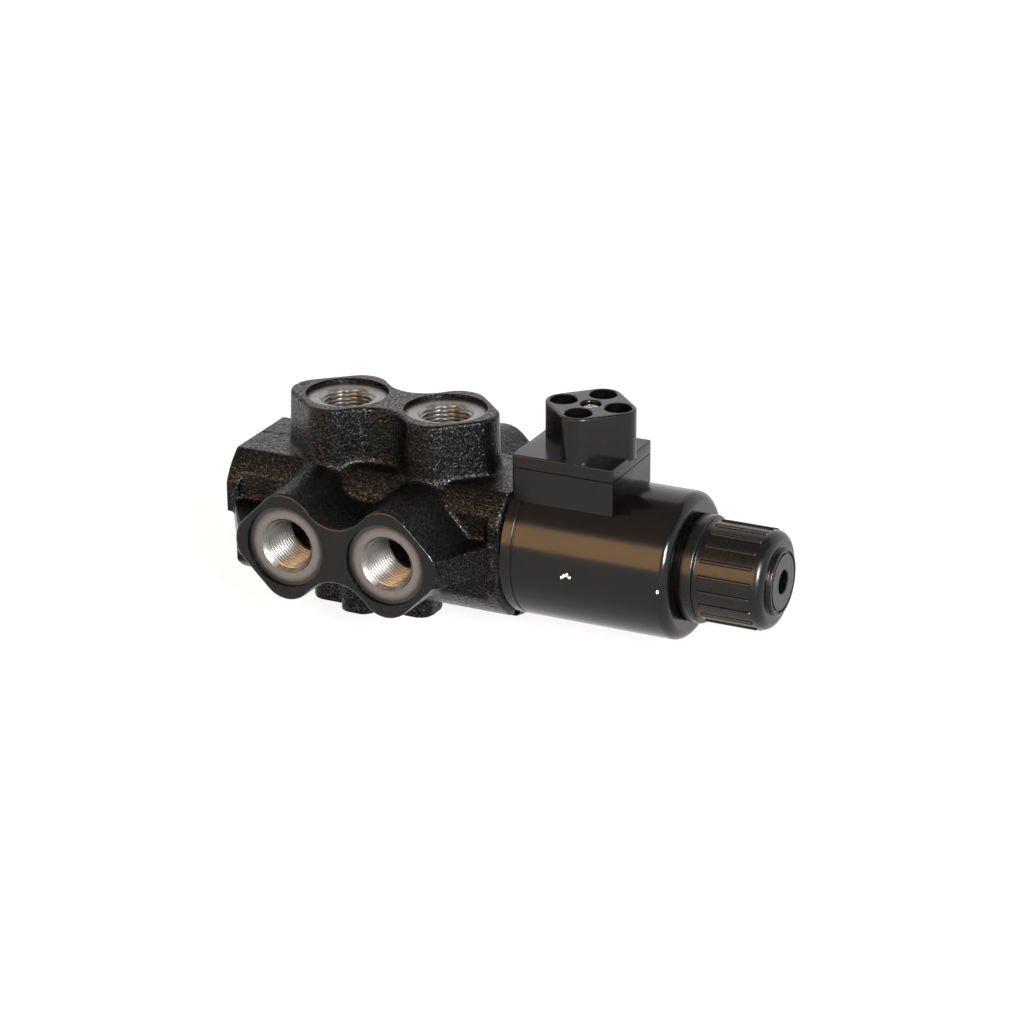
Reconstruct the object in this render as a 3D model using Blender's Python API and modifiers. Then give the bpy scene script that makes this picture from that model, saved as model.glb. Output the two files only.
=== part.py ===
"""Solenoid directional valve: a six-port cast body with a sliding spool, and an orientable solenoid.

The frame has +X along the spool towards the solenoid, +Z up and the ports' middle at X = 0.
The origin is on the plane of the two mounting feet. Every piece hangs from one empty on the spool axis,
so the numbers below are measured from that axis.
"""

import math

import bmesh
import bpy
from mathutils import Matrix, Vector

MM = 0.001

# Clearances
SEAT_GAP = 0.3 * MM
RUNNING_GAP = 0.3 * MM
STROKE = 4.0 * MM

# Cast body
AXIS_HEIGHT = 32.0 * MM
PORT_PITCH = 34.2 * MM
LEFT_OVERHANG = 31.4 * MM
RIGHT_OVERHANG = 28.5 * MM
BARREL_R = 24.7 * MM
BARREL_TOP = 19.8 * MM
BARREL_SIDE = 20.5 * MM
FLANGE_WIDTH = 4.2 * MM
FLANGE_CHAMFER = 0.4 * MM
NOTCH_WIDTH = 4.0 * MM
NOTCH_DEPTH = 4.0 * MM
NOTCH_REACH = 2.5 * MM
NOTCH_ANGLE = math.radians(24)
RIB_HALF = 4.5 * MM
RIB_EDGE = 1.2 * MM
RIB_FLANGE_Y = 20.0 * MM
LEFT_RELIEF_Y = 17.5 * MM
LEFT_RELIEF_TOP = 0.8 * MM
LEFT_RELIEF_LENGTH = 14.0 * MM
LEFT_FOOT = (-11.3 * MM, -3.2 * MM)
RIGHT_FOOT = (6.2 * MM, 1.9 * MM)
FOOT_LENGTH = 12.0 * MM
FOOT_WIDTH = 14.0 * MM
FOOT_CORNER_R = 4.5 * MM
FOOT_EDGE = 1.5 * MM
FOOT_WEB_HALF = 5.0 * MM
FOOT_RAIL_HALF = 4.6 * MM
FOOT_RAIL_LEFT = -30.0 * MM
FOOT_HOLE_R = 3.4 * MM
FOOT_HOLE_DEPTH = 11.0 * MM

# Port bosses: two rounded diamonds joined by a waist
TOP_FACE = 37.8 * MM
SIDE_FACE = 42.1 * MM
SIDE_PORT_RISE = 1.5 * MM
LOBE_FLAT = 14.9 * MM
LOBE_CORNER_R = 9.0 * MM
LOBE_WAIST = 9.0 * MM
TOP_BOSS_EXTRA = 1.4 * MM
BOSS_EDGE_R = 1.5 * MM
BOSS_ROOT_R = 2.0 * MM
BOSS_DRAFT = math.radians(2)
SPOT_FACE_R = 13.0 * MM
SPOT_FACE_DEPTH = 1.5 * MM
PORT_R = 7.5 * MM
PORT_MOUTH_R = 8.4 * MM
PORT_DEPTH = 19.0 * MM
PASSAGE_R = 3.4 * MM
PASSAGE_SHIFT = 9.5 * MM

# Spool, its spring and the end plug
SPOOL_R = 7.7 * MM
GROOVE_R = 5.5 * MM
GROOVE_LENGTH = 12.0 * MM
GROOVE_LAP = 0.7 * MM
SPRING_POCKET_DEPTH = 10.0 * MM
SPRING_POCKET_R = 5.2 * MM
PLUG_R = 10.9 * MM
PLUG_LENGTH = 7.6 * MM
PLUG_SINK = 0.4 * MM
PLUG_FREE_TRAVEL = 1.1 * MM
HEX_ACROSS_FLATS = 8.0 * MM
HEX_DEPTH = 4.4 * MM
SPRING_WIRE_R = 0.6 * MM
SPRING_TURNS = 6
SPRING_POINTS_A_TURN = 9

# Solenoid core
CORE_THREAD_R = 10.9 * MM
CORE_THREAD_LENGTH = 11.3 * MM
TUBE_R = 9.5 * MM
TUBE_WALL = 1.0 * MM
TUBE_LENGTH = 51.8 * MM
POLE_LENGTH = 22.8 * MM
POLE_SPARE_GAP = 0.4 * MM
ARMATURE_LENGTH = 27.0 * MM
STOP_NUT_GAP = 2.4 * MM
PUSH_PIN_R = 2.0 * MM
OVERRIDE_R = 2.0 * MM
OVERRIDE_REACH = 3.0 * MM
OVERRIDE_POCKET_R = 4.2 * MM
OVERRIDE_POCKET_DEPTH = 6.0 * MM

# Coil
COIL_R = 22.85 * MM
COIL_LENGTH = 54.7 * MM
COIL_BORE_GAP = 0.4 * MM
COIL_WALL = 4.35 * MM
COIL_FRONT_WALL = 3.5 * MM
COIL_END_FILLET = 3.2 * MM
COIL_EDGE = 0.4 * MM
COIL_SEAM_OFFSET = 3.5 * MM
COIL_SEAM_WIDTH = 0.7 * MM
COIL_SEAM_DEPTH = 0.4 * MM
FLUX_WASHER = 2.5 * MM
END_WASHER = 4.0 * MM
COIL_RECESS = 4.4 * MM
COIL_RIM = 2.2 * MM
COIL_MOUTH_R = 16.2 * MM
BOBBIN_WALL = 1.2 * MM
BOBBIN_FLANGE = 1.5 * MM
WINDING_INSET = 0.8 * MM

# Seal rings: the cord radius of each
PLUG_SEAL_R = 0.65 * MM
TUBE_SEAL_R = 0.65 * MM
COIL_SEAL_R = 0.7 * MM
PIN_SEAL_R = 0.7 * MM
SEAL_GROOVE_SPARE = 0.35 * MM

# Terminal tower and plug base
TOWER_OFFSET = 0.5 * MM
TOWER_LENGTH = 33.2 * MM
TOWER_HALF_WIDTH = 14.4 * MM
TOWER_TOP = 32.5 * MM
TOWER_EDGE = 0.7 * MM
BASE_PLATE = 3.9 * MM
GASKET = 0.6 * MM
GASKET_INSET = 2.0 * MM
PLUG_BASE_OFFSET = 2.93 * MM
PLUG_BASE_HALF = 12.0 * MM
PLUG_BASE_CORNER_R = 6.0 * MM
PLUG_BASE_HEIGHT = 14.4 * MM
PLUG_BASE_EDGE = 0.6 * MM
WELL_CIRCLE_R = 9.0 * MM
WELL_R = 4.2 * MM
WELL_DEPTH = 10.0 * MM
CONTACT_WIDTH = 5.0 * MM
CONTACT_THICKNESS = 0.9 * MM
CONTACT_HEIGHT = 5.0 * MM
SCREW_HOLE_R = 3.2 * MM
SCREW_HOLE_DEPTH = 6.5 * MM
SCREW_HEAD_R = 2.8 * MM
SCREW_HEAD = 1.8 * MM
SCREW_SHANK_R = 1.5 * MM
SCREW_SHANK_LENGTH = 6.0 * MM
SCREW_SLOT = 0.7 * MM
SCREW_SLOT_DEPTH = 0.8 * MM

# Ring nut
NUT_R = 15.2 * MM
NUT_SPIGOT_R = 15.6 * MM
NUT_SPIGOT_LENGTH = 3.6 * MM
NUT_SKIRT_R = 16.6 * MM
NUT_SKIRT_LENGTH = 4.0 * MM
NUT_GRIP_LENGTH = 21.8 * MM
NUT_SHOULDER_R = 3.0 * MM
NUT_BOSS_R = 10.4 * MM
NUT_BOSS_LENGTH = 1.4 * MM
NUT_EDGE_R = 1.0 * MM
NUT_HOLE_R = 3.7 * MM
NUT_END_WALL = 7.5 * MM
NUT_RIBS = 20
NUT_RIB_WIDTH = 1.1 * MM
NUT_RIB_HEIGHT = 0.55 * MM
NUT_RIB_LENGTH = 16.8 * MM
NUT_RIB_START = 1.6 * MM
NUT_RIB_TURN = math.radians(4.2)
NUT_FACE_GROOVE_R = 9.0 * MM
NUT_FACE_GROOVE_WIDTH = 0.8 * MM
NUT_FACE_GROOVE_DEPTH = 0.6 * MM

# Facets of round shapes
FINE_STEPS = 48
PORT_STEPS = 30
INNER_STEPS = 20
SEAL_SECTION_POINTS = 6
ARC_STEPS = 6

# Places along the spool axis
HALF_PITCH = PORT_PITCH / 2
BODY_LEFT = -HALF_PITCH - LEFT_OVERHANG
BODY_RIGHT = HALF_PITCH + RIGHT_OVERHANG
BORE_R = SPOOL_R + RUNNING_GAP
PLUG_LEFT = BODY_LEFT + PLUG_SINK
PLUG_RIGHT = PLUG_LEFT + PLUG_LENGTH
TUBE_LEFT = BODY_RIGHT - SEAT_GAP - CORE_THREAD_LENGTH
TUBE_SHOULDER = BODY_RIGHT - SEAT_GAP
TUBE_RIGHT = TUBE_SHOULDER + TUBE_LENGTH
TUBE_BORE_R = TUBE_R - TUBE_WALL
CORE_R = TUBE_BORE_R - RUNNING_GAP
POLE_LEFT = TUBE_LEFT + SEAT_GAP
POLE_RIGHT = POLE_LEFT + POLE_LENGTH
SPOOL_RIGHT = POLE_LEFT - SEAT_GAP
SPOOL_LEFT = PLUG_RIGHT + STROKE + PLUG_FREE_TRAVEL
SPRING_POCKET_END = SPOOL_LEFT + SPRING_POCKET_DEPTH
ARMATURE_LEFT = POLE_RIGHT + STROKE + POLE_SPARE_GAP
ARMATURE_RIGHT = ARMATURE_LEFT + ARMATURE_LENGTH
STOP_LEFT = ARMATURE_RIGHT + SEAT_GAP
STOP_SHOULDER = TUBE_RIGHT + SEAT_GAP
COIL_LEFT = BODY_RIGHT + SEAT_GAP
COIL_RIGHT = COIL_LEFT + COIL_LENGTH
COIL_BORE_R = TUBE_R + COIL_BORE_GAP
COIL_CAVITY_R = COIL_R - COIL_WALL
COIL_FLOOR = COIL_LEFT + COIL_FRONT_WALL
END_WASHER_RIGHT = COIL_RIGHT - COIL_RECESS
NUT_LEFT = END_WASHER_RIGHT + 2 * COIL_SEAL_R + 2 * SEAT_GAP
NUT_SKIRT_LEFT = NUT_LEFT + NUT_SPIGOT_LENGTH
NUT_GRIP_LEFT = NUT_SKIRT_LEFT + NUT_SKIRT_LENGTH
NUT_GRIP_RIGHT = NUT_GRIP_LEFT + NUT_GRIP_LENGTH
NUT_RIGHT = NUT_GRIP_RIGHT + NUT_BOSS_LENGTH
NUT_WALL_LEFT = NUT_RIGHT - NUT_END_WALL
STOP_RIGHT = NUT_WALL_LEFT - STOP_NUT_GAP
TOWER_LEFT = COIL_LEFT + TOWER_OFFSET
TOWER_RIGHT = TOWER_LEFT + TOWER_LENGTH
PLUG_BASE_X = (TOWER_LEFT + TOWER_RIGHT) / 2 + PLUG_BASE_OFFSET
PLUG_BASE_TOP = TOWER_TOP + PLUG_BASE_HEIGHT
PLATE_BOTTOM = TOWER_TOP - BASE_PLATE
GASKET_TOP = PLATE_BOTTOM - SEAT_GAP
TOWER_BLOCK_TOP = PLATE_BOTTOM - SEAT_GAP
GASKET_BOTTOM = GASKET_TOP - GASKET
FOOT_TOP = -(AXIS_HEIGHT + BORE_R) / 2
PAST = 1.0 * MM


def clear_scene():
    for thing in list(bpy.data.objects):
        bpy.data.objects.remove(thing, do_unlink=True)


def collection(name):
    made = bpy.data.collections.new(name)
    bpy.context.scene.collection.children.link(made)
    return made


def finish(name, colour, roughness, metallic):
    """A named Principled material of one colour."""
    made = bpy.data.materials.new(name)
    made.use_nodes = True
    shader = made.node_tree.nodes["Principled BSDF"]
    shader.inputs["Base Color"].default_value = (*colour, 1.0)
    shader.inputs["Roughness"].default_value = roughness
    shader.inputs["Metallic"].default_value = metallic
    return made


clear_scene()
PARTS = collection("solenoid_directional_valve")
CUTTERS = collection("valve_cutters")
AXIS = bpy.data.objects.new("spool_axis", None)
PARTS.objects.link(AXIS)
AXIS.location = (0, 0, AXIS_HEIGHT)

BLACK_CASTING = finish("black_casting", (0.010, 0.010, 0.011), 0.28, 0.0)
BLACK_STEEL = finish("black_coil_can", (0.009, 0.009, 0.010), 0.32, 0.0)
BLACK_PLASTIC = finish("black_plastic", (0.014, 0.014, 0.015), 0.38, 0.0)
BRIGHT_STEEL = finish("bright_steel", (0.62, 0.60, 0.57), 0.25, 1.0)
SPRING_STEEL = finish("spring_steel", (0.45, 0.44, 0.43), 0.3, 1.0)
COPPER = finish("copper", (0.72, 0.32, 0.16), 0.35, 1.0)
BRASS = finish("brass", (0.70, 0.52, 0.24), 0.3, 1.0)
NATURAL_PLASTIC = finish("natural_plastic", (0.55, 0.50, 0.40), 0.5, 0.0)
RUBBER = finish("seal_rubber", (0.012, 0.012, 0.012), 0.6, 0.0)


def place(name, mesh, material=None):
    """A part on the spool axis, or, with no material, a hidden cutter."""
    made = bpy.data.objects.new(name, mesh)
    made.parent = AXIS
    if material is None:
        CUTTERS.objects.link(made)
        made.hide_render = True
        made.display_type = "WIRE"
        return made
    PARTS.objects.link(made)
    mesh.materials.append(material)
    return made


def mesh_of(bm, name, normals=False):
    if normals:
        bmesh.ops.recalc_face_normals(bm, faces=bm.faces)
    mesh = bpy.data.meshes.new(name)
    bm.to_mesh(mesh)
    bm.free()
    return mesh


def turned(name, outer, bore=(), material=None, steps=INNER_STEPS):
    """A round piece from (x, radius) points: the outer side right to left, the bore left to right."""
    bm = bmesh.new()
    points = [bm.verts.new((radius, 0, x)) for x, radius in (*outer, *bore)]
    for first, second in zip(points, points[1:]):
        bm.edges.new((first, second))
    if bore:
        bm.edges.new((points[-1], points[0]))
    made = place(name, mesh_of(bm, name), material)
    made.rotation_euler = (0, math.pi / 2, 0)
    screw = made.modifiers.new("turn", "SCREW")
    screw.steps = steps
    screw.render_steps = steps
    screw.use_merge_vertices = True
    screw.merge_threshold = 1e-6
    return made


def solid_round(name, right, left, radius, material=None, steps=INNER_STEPS):
    return turned(name, [(right, 0), (right, radius), (left, radius), (left, 0)], (), material, steps)


def ring(name, right, left, outer_r, inner_r, material=None, steps=INNER_STEPS):
    bore = [(left, inner_r), (right, inner_r)]
    return turned(name, [(right, outer_r), (left, outer_r)], bore, material, steps)


def seal(name, x, ring_r, cord_r):
    """A round-section seal ring about the spool axis."""
    angles = [2 * math.pi * step / SEAL_SECTION_POINTS for step in range(SEAL_SECTION_POINTS)]
    points = [(x + cord_r * math.cos(turn), ring_r + cord_r * math.sin(turn)) for turn in angles]
    return turned(name, points[:-1], points[-1:], RUBBER)


def arc(centre, radius, start, end, steps=ARC_STEPS):
    """Points of an arc, with its angles in degrees."""
    turns = [math.radians(start + (end - start) * step / steps) for step in range(steps + 1)]
    return [(centre[0] + radius * math.cos(turn), centre[1] + radius * math.sin(turn)) for turn in turns]


def rod(name, start, end, radius, steps, end_radius=None):
    """A hidden cylinder or cone between two points, turned half a facet."""
    start, end = Vector(start), Vector(end)
    bm = bmesh.new()
    bmesh.ops.create_cone(
        bm,
        cap_ends=True,
        segments=steps,
        radius1=radius,
        radius2=radius if end_radius is None else end_radius,
        depth=(end - start).length,
    )
    turn = (end - start).to_track_quat("Z", "Y").to_matrix().to_4x4()
    turn = turn @ Matrix.Rotation(math.pi / steps, 4, "Z")
    bmesh.ops.transform(bm, matrix=Matrix.Translation((start + end) / 2) @ turn, verts=bm.verts)
    return place(name, mesh_of(bm, name))


def box(name, low, high, material=None, edge=0.0):
    """A block between two corners, with its edges rounded."""
    low, high = Vector(low), Vector(high)
    bm = bmesh.new()
    bmesh.ops.create_cube(bm, size=1.0)
    bmesh.ops.scale(bm, vec=high - low, verts=bm.verts)
    bmesh.ops.translate(bm, vec=(low + high) / 2, verts=bm.verts)
    made = place(name, mesh_of(bm, name), material)
    if edge:
        soften(made, edge)
    return made


def extruded(name, outline, low, high, material=None, across="Z"):
    """A flat outline carried from low to high along Z, or along X with the outline in Y and Z."""
    bm = bmesh.new()
    if across == "Z":
        points = [bm.verts.new((a, b, low)) for a, b in outline]
        travel = (0, 0, high - low)
    else:
        points = [bm.verts.new((low, a, b)) for a, b in outline]
        travel = (high - low, 0, 0)
    face = bm.faces.new(points)
    far = bmesh.ops.extrude_face_region(bm, geom=[face])
    moved = [item for item in far["geom"] if isinstance(item, bmesh.types.BMVert)]
    bmesh.ops.translate(bm, vec=travel, verts=moved)
    return place(name, mesh_of(bm, name, normals=True), material)


def soften(made, width, segments=2, angle=40):
    bevel = made.modifiers.new("soften", "BEVEL")
    bevel.width = width
    bevel.segments = segments
    bevel.limit_method = "ANGLE"
    bevel.angle_limit = math.radians(angle)


def combine(made, others, operation):
    for other in others:
        step = made.modifiers.new(other.name, "BOOLEAN")
        step.operation = operation
        step.object = other
        step.solver = "EXACT"


def fuse(made, others):
    combine(made, others, "UNION")


def cut(made, others):
    combine(made, others, "DIFFERENCE")


def smooth(made, angle=35):
    """Smooth shading with sharp corners kept."""
    made.data.shade_smooth()
    made.data.set_sharp_from_angle(angle=math.radians(angle))


def diamond_pair(grow, left_extra):
    """Two rounded diamonds joined by a waist, moved outwards by grow, with the left end drawn out."""
    corner = LOBE_CORNER_R + grow
    waist = LOBE_WAIST + grow
    reach = (LOBE_FLAT - LOBE_CORNER_R) * math.sqrt(2)
    meeting = reach + corner * math.sqrt(2) - HALF_PITCH
    waist_r = (waist - meeting) / (math.sqrt(2) - 1)
    right = arc((HALF_PITCH + reach, 0), corner, -45, 45)
    top_right = arc((HALF_PITCH, reach), corner, 45, 135)
    top_waist = arc((0, waist + waist_r), waist_r, -45, -135)
    top_left = arc((-HALF_PITCH, reach), corner, 45, 135)
    left = [(-u - left_extra, -v) for u, v in right]
    far_side = top_right + top_waist + top_left
    return right + far_side + left + [(-u, -v) for u, v in far_side]


def boss_levels(face, root):
    """Heights and growths of a boss, from inside the barrel to its rounded face."""
    levels = []
    for step in range(ARC_STEPS // 2 + 1):
        turn = math.radians(90 * step / (ARC_STEPS // 2))
        height = root + BOSS_ROOT_R * (1 - math.cos(turn))
        levels.append((height, BOSS_ROOT_R * (1 - math.sin(turn)) + (face - height) * math.tan(BOSS_DRAFT)))
    for step in range(ARC_STEPS // 2 + 1):
        turn = math.radians(90 * step / (ARC_STEPS // 2))
        height = face - BOSS_EDGE_R * (1 - math.sin(turn))
        levels.append((height, BOSS_EDGE_R * (math.cos(turn) - 1)))
    return [(root / 2, levels[0][1])] + levels


def port_boss(name, face, root, left_extra, to_axis_frame):
    """The double boss of one face, drafted, flared at its root and rounded at its face."""
    bm = bmesh.new()
    sections = []
    for height, grow in boss_levels(face, root):
        places = [to_axis_frame @ Vector((u, v, height)) for u, v in diamond_pair(grow, left_extra)]
        sections.append([bm.verts.new(spot) for spot in places])
    count = len(sections[0])
    for lower, upper in zip(sections, sections[1:]):
        for index in range(count):
            after = (index + 1) % count
            bm.faces.new((lower[index], lower[after], upper[after], upper[index]))
    bm.faces.new(reversed(sections[0]))
    bm.faces.new(sections[-1])
    bmesh.ops.remove_doubles(bm, verts=bm.verts, dist=1e-6)
    return place(name, mesh_of(bm, name))


def side_frame(facing):
    """Axes of a side face: across it, up, and out of it (facing is -1 at the front, +1 at the rear)."""
    out = Vector((0, facing, 0))
    up = Vector((0, 0, 1))
    across = up.cross(out)
    turn = Matrix((across, up, out)).transposed().to_4x4()
    return Matrix.Translation((0, 0, SIDE_PORT_RISE)) @ turn


FACES = {
    "top": (Matrix.Identity(4), TOP_FACE, BARREL_TOP, TOP_BOSS_EXTRA, 0.0),
    "front": (side_frame(-1), SIDE_FACE, BARREL_SIDE, 0.0, -PASSAGE_SHIFT),
    "rear": (side_frame(1), SIDE_FACE, BARREL_SIDE, 0.0, PASSAGE_SHIFT),
}


def port_cutters(side, to_axis_frame, face, shift):
    """The machined port and its passage to the spool, for both ports of a face."""
    floor = face - SPOT_FACE_DEPTH
    end = floor - PORT_DEPTH
    chamfer_end = floor - (PORT_MOUTH_R - PORT_R)
    profile = [(face + PAST, 0), (face + PAST, SPOT_FACE_R), (floor, SPOT_FACE_R), (floor, PORT_MOUTH_R)]
    profile += [(chamfer_end, PORT_R), (end, PORT_R), (end, 0)]
    made = []
    for label, x in (("left", -HALF_PITCH), ("right", HALF_PITCH)):
        across = (to_axis_frame.inverted() @ Vector((x, 0, 0))).x
        port = turned(f"{side}_{label}_port", profile, steps=PORT_STEPS)
        port.matrix_local = to_axis_frame @ Matrix.Translation((across, 0, 0))
        start = to_axis_frame @ Vector((across, 0, end + PORT_R / 4))
        wall = (start - Vector((x, 0, 0))).normalized() * BORE_R
        target = Vector((x + shift, wall.y, wall.z))
        inside = target + (target - start).normalized() * (BORE_R / 2)
        passage = rod(f"{side}_{label}_passage", start, inside, PASSAGE_R, INNER_STEPS)
        made += [port, passage]
    return made


def side_rib(name, end, facing):
    """A web at mid height from a side boss's end back to the body's end flange."""
    reach = (LOBE_FLAT - LOBE_CORNER_R) * math.sqrt(2) + LOBE_CORNER_R
    flange = (BODY_RIGHT if end > 0 else -BODY_LEFT) - FLANGE_CHAMFER
    outline = [
        (end * HALF_PITCH, facing * BORE_R),
        (end * HALF_PITCH, facing * (SIDE_FACE - BOSS_EDGE_R)),
        (end * (HALF_PITCH + reach - BOSS_EDGE_R), facing * (SIDE_FACE - BOSS_EDGE_R)),
        (end * flange, facing * RIB_FLANGE_Y),
        (end * flange, facing * BORE_R),
    ]
    rib = extruded(name, outline, SIDE_PORT_RISE / 2 - RIB_HALF, SIDE_PORT_RISE / 2 + RIB_HALF)
    soften(rib, RIB_EDGE)
    return rib


def barrel():
    """The round body: flat top, flat sides between its flanges and a relieved left end."""
    chamfer = FLANGE_CHAMFER
    outer = [(BODY_RIGHT, 0), (BODY_RIGHT, BARREL_R - chamfer), (BODY_RIGHT - chamfer, BARREL_R)]
    outer += [(BODY_LEFT + chamfer, BARREL_R), (BODY_LEFT, BARREL_R - chamfer), (BODY_LEFT, 0)]
    made = turned("valve_body", outer, (), BLACK_CASTING, FINE_STEPS)
    over = BARREL_R + PAST
    cutters = [box("barrel_top", (BODY_LEFT - PAST, -over, BARREL_TOP), (BODY_RIGHT + PAST, over, over))]
    for label, facing in (("front", -1), ("rear", 1)):
        ends = sorted((facing * BARREL_SIDE, facing * over))
        low = (BODY_LEFT + FLANGE_WIDTH, ends[0], -over)
        high = (BODY_RIGHT - FLANGE_WIDTH, ends[1], over)
        cutters.append(box(f"barrel_{label}_side", low, high))
        ends = sorted((facing * LEFT_RELIEF_Y, facing * over))
        low = (BODY_LEFT - PAST, ends[0], -over)
        high = (BODY_LEFT + LEFT_RELIEF_LENGTH, ends[1], LEFT_RELIEF_TOP)
        cutters.append(box(f"left_{label}_relief", low, high))
    cut(made, cutters)
    return made


def mounting_foot(label, x, y):
    """A rounded foot under the barrel, and the cutter of its threaded hole."""
    bottom = -AXIS_HEIGHT
    out_x = FOOT_LENGTH / 2 - FOOT_CORNER_R
    out_y = FOOT_WIDTH / 2 - FOOT_CORNER_R
    outline = []
    for start, (side_x, side_y) in ((0, (1, 1)), (90, (-1, 1)), (180, (-1, -1)), (270, (1, -1))):
        corner = (x + side_x * out_x, y + side_y * out_y)
        outline += arc(corner, FOOT_CORNER_R, start, start + 90)
    foot = extruded(f"{label}_foot", outline, bottom, FOOT_TOP)
    soften(foot, FOOT_EDGE)
    hole_top = bottom + FOOT_HOLE_DEPTH
    hole = rod(f"{label}_foot_hole", (x, y, bottom - PAST), (x, y, hole_top), FOOT_HOLE_R, INNER_STEPS)
    return foot, hole


def foot_webs():
    """The pad between the two feet, flush with their faces, and the rail from it to the left."""
    outline = []
    for (x, y), side in ((LEFT_FOOT, -1), (RIGHT_FOOT, -1), (RIGHT_FOOT, 1), (LEFT_FOOT, 1)):
        outline.append((x, y + side * FOOT_WEB_HALF))
    web = extruded("foot_web", outline, -AXIS_HEIGHT, FOOT_TOP)
    rail_end = FOOT_RAIL_LEFT + FOOT_RAIL_HALF
    outline = [(LEFT_FOOT[0], -FOOT_RAIL_HALF), (LEFT_FOOT[0], FOOT_RAIL_HALF)]
    outline += arc((rail_end, 0), FOOT_RAIL_HALF, 90, 270)
    rail = extruded("foot_rail", outline, -AXIS_HEIGHT, FOOT_TOP)
    soften(rail, FOOT_EDGE)
    return [web, rail]


def spool_bore():
    """The bore for the spool, with the recesses of the end plug and of the core tube at its ends."""
    plug_r = PLUG_R + SEAT_GAP
    plug_end = PLUG_RIGHT + SEAT_GAP
    core_r = CORE_THREAD_R + SEAT_GAP
    core_end = TUBE_LEFT - SEAT_GAP
    profile = [(BODY_RIGHT + PAST, 0), (BODY_RIGHT + PAST, core_r), (core_end, core_r), (core_end, BORE_R)]
    profile += [(plug_end, BORE_R), (plug_end, plug_r), (BODY_LEFT - PAST, plug_r), (BODY_LEFT - PAST, 0)]
    return turned("spool_bore", profile, steps=PORT_STEPS)


def valve_body():
    """The casting: barrel, three double bosses, four webs and two feet, then its machining."""
    made = barrel()
    added, removed = [], []
    for side, (to_axis_frame, face, root, left_extra, shift) in FACES.items():
        added.append(port_boss(f"{side}_boss", face, root, left_extra, to_axis_frame))
        removed += port_cutters(side, to_axis_frame, face, shift)
    for end_label, end in (("left", -1), ("right", 1)):
        for side, facing in (("front", -1), ("rear", 1)):
            added.append(side_rib(f"{end_label}_{side}_rib", end, facing))
    for end_label, spot in (("left", LEFT_FOOT), ("right", RIGHT_FOOT)):
        foot, hole = mounting_foot(end_label, *spot)
        added.append(foot)
        removed.append(hole)
    added += foot_webs()
    notch = box(
        "flange_notch",
        (BODY_RIGHT - NOTCH_REACH, -NOTCH_WIDTH / 2, -BARREL_R - PAST),
        (BODY_RIGHT + PAST, NOTCH_WIDTH / 2, NOTCH_DEPTH - BARREL_R),
    )
    notch.rotation_euler = (-NOTCH_ANGLE, 0, 0)
    removed.append(notch)
    removed.append(spool_bore())
    fuse(made, added)
    cut(made, removed)
    return made


def groove_of(x, outer_r, cord_r):
    """Right-to-left profile points of a seal groove centred at x in a shaft of radius outer_r."""
    half = cord_r + SEAL_GROOVE_SPARE
    floor = outer_r - 2 * cord_r - SEAT_GAP
    return [(x + half, outer_r), (x + half, floor), (x - half, floor), (x - half, outer_r)]


def end_plug():
    """The screwed plug behind the spring, with a hexagon socket outside and a seal groove."""
    middle = (PLUG_RIGHT + PLUG_LEFT + HEX_DEPTH) / 2
    outer = [(PLUG_RIGHT, 0), (PLUG_RIGHT, PLUG_R), *groove_of(middle, PLUG_R, PLUG_SEAL_R)]
    outer += [(PLUG_LEFT, PLUG_R), (PLUG_LEFT, 0)]
    made = turned("end_plug", outer, (), BRIGHT_STEEL)
    corner = HEX_ACROSS_FLATS / math.sqrt(3)
    hexagon = arc((0, 0), corner, 0, 300, 5)
    cut(made, [extruded("hex_socket", hexagon, PLUG_LEFT - PAST, PLUG_LEFT + HEX_DEPTH, across="X")])
    seal("end_plug_seal", middle, PLUG_R - PLUG_SEAL_R, PLUG_SEAL_R)


def spool():
    """The spool: lands and two grooves, with a pocket for the spring in its left end."""
    outer = [(SPOOL_RIGHT, 0), (SPOOL_RIGHT, SPOOL_R)]
    for x in (HALF_PITCH, -HALF_PITCH):
        left = x - PASSAGE_R - GROOVE_LAP
        right = left + GROOVE_LENGTH
        outer += [(right, SPOOL_R), (right, GROOVE_R), (left, GROOVE_R), (left, SPOOL_R)]
    outer += [(SPOOL_LEFT, SPOOL_R), (SPOOL_LEFT, SPRING_POCKET_R)]
    outer += [(SPRING_POCKET_END, SPRING_POCKET_R), (SPRING_POCKET_END, 0)]
    turned("spool", outer, (), BRIGHT_STEEL)


def return_spring():
    """The coil spring between the end plug and the floor of the spool's pocket."""
    ring_r = SPRING_POCKET_R - SEAT_GAP - SPRING_WIRE_R
    start = PLUG_RIGHT + SEAT_GAP + SPRING_WIRE_R
    end = SPRING_POCKET_END - SEAT_GAP - SPRING_WIRE_R
    count = SPRING_TURNS * SPRING_POINTS_A_TURN
    points = []
    for step in range(count + 1):
        turn = 2 * math.pi * step / SPRING_POINTS_A_TURN
        x = start + (end - start) * step / count
        points.append(Vector((x, ring_r * math.cos(turn), ring_r * math.sin(turn))))
    curve = bpy.data.curves.new("return_spring", "CURVE")
    curve.dimensions = "3D"
    curve.bevel_depth = SPRING_WIRE_R
    curve.bevel_resolution = 1
    curve.use_fill_caps = True
    spline = curve.splines.new("POLY")
    spline.points.add(count)
    for point, spot in zip(spline.points, points):
        point.co = (*spot, 1.0)
    place("return_spring", curve, SPRING_STEEL)
    apart = [
        (one - other).length
        for index, one in enumerate(points)
        for other in points[index + SPRING_POINTS_A_TURN // 2 :]
    ]
    print(f"return_spring: least gap to itself {(min(apart) - 2 * SPRING_WIRE_R) / MM:.2f} mm")


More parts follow.
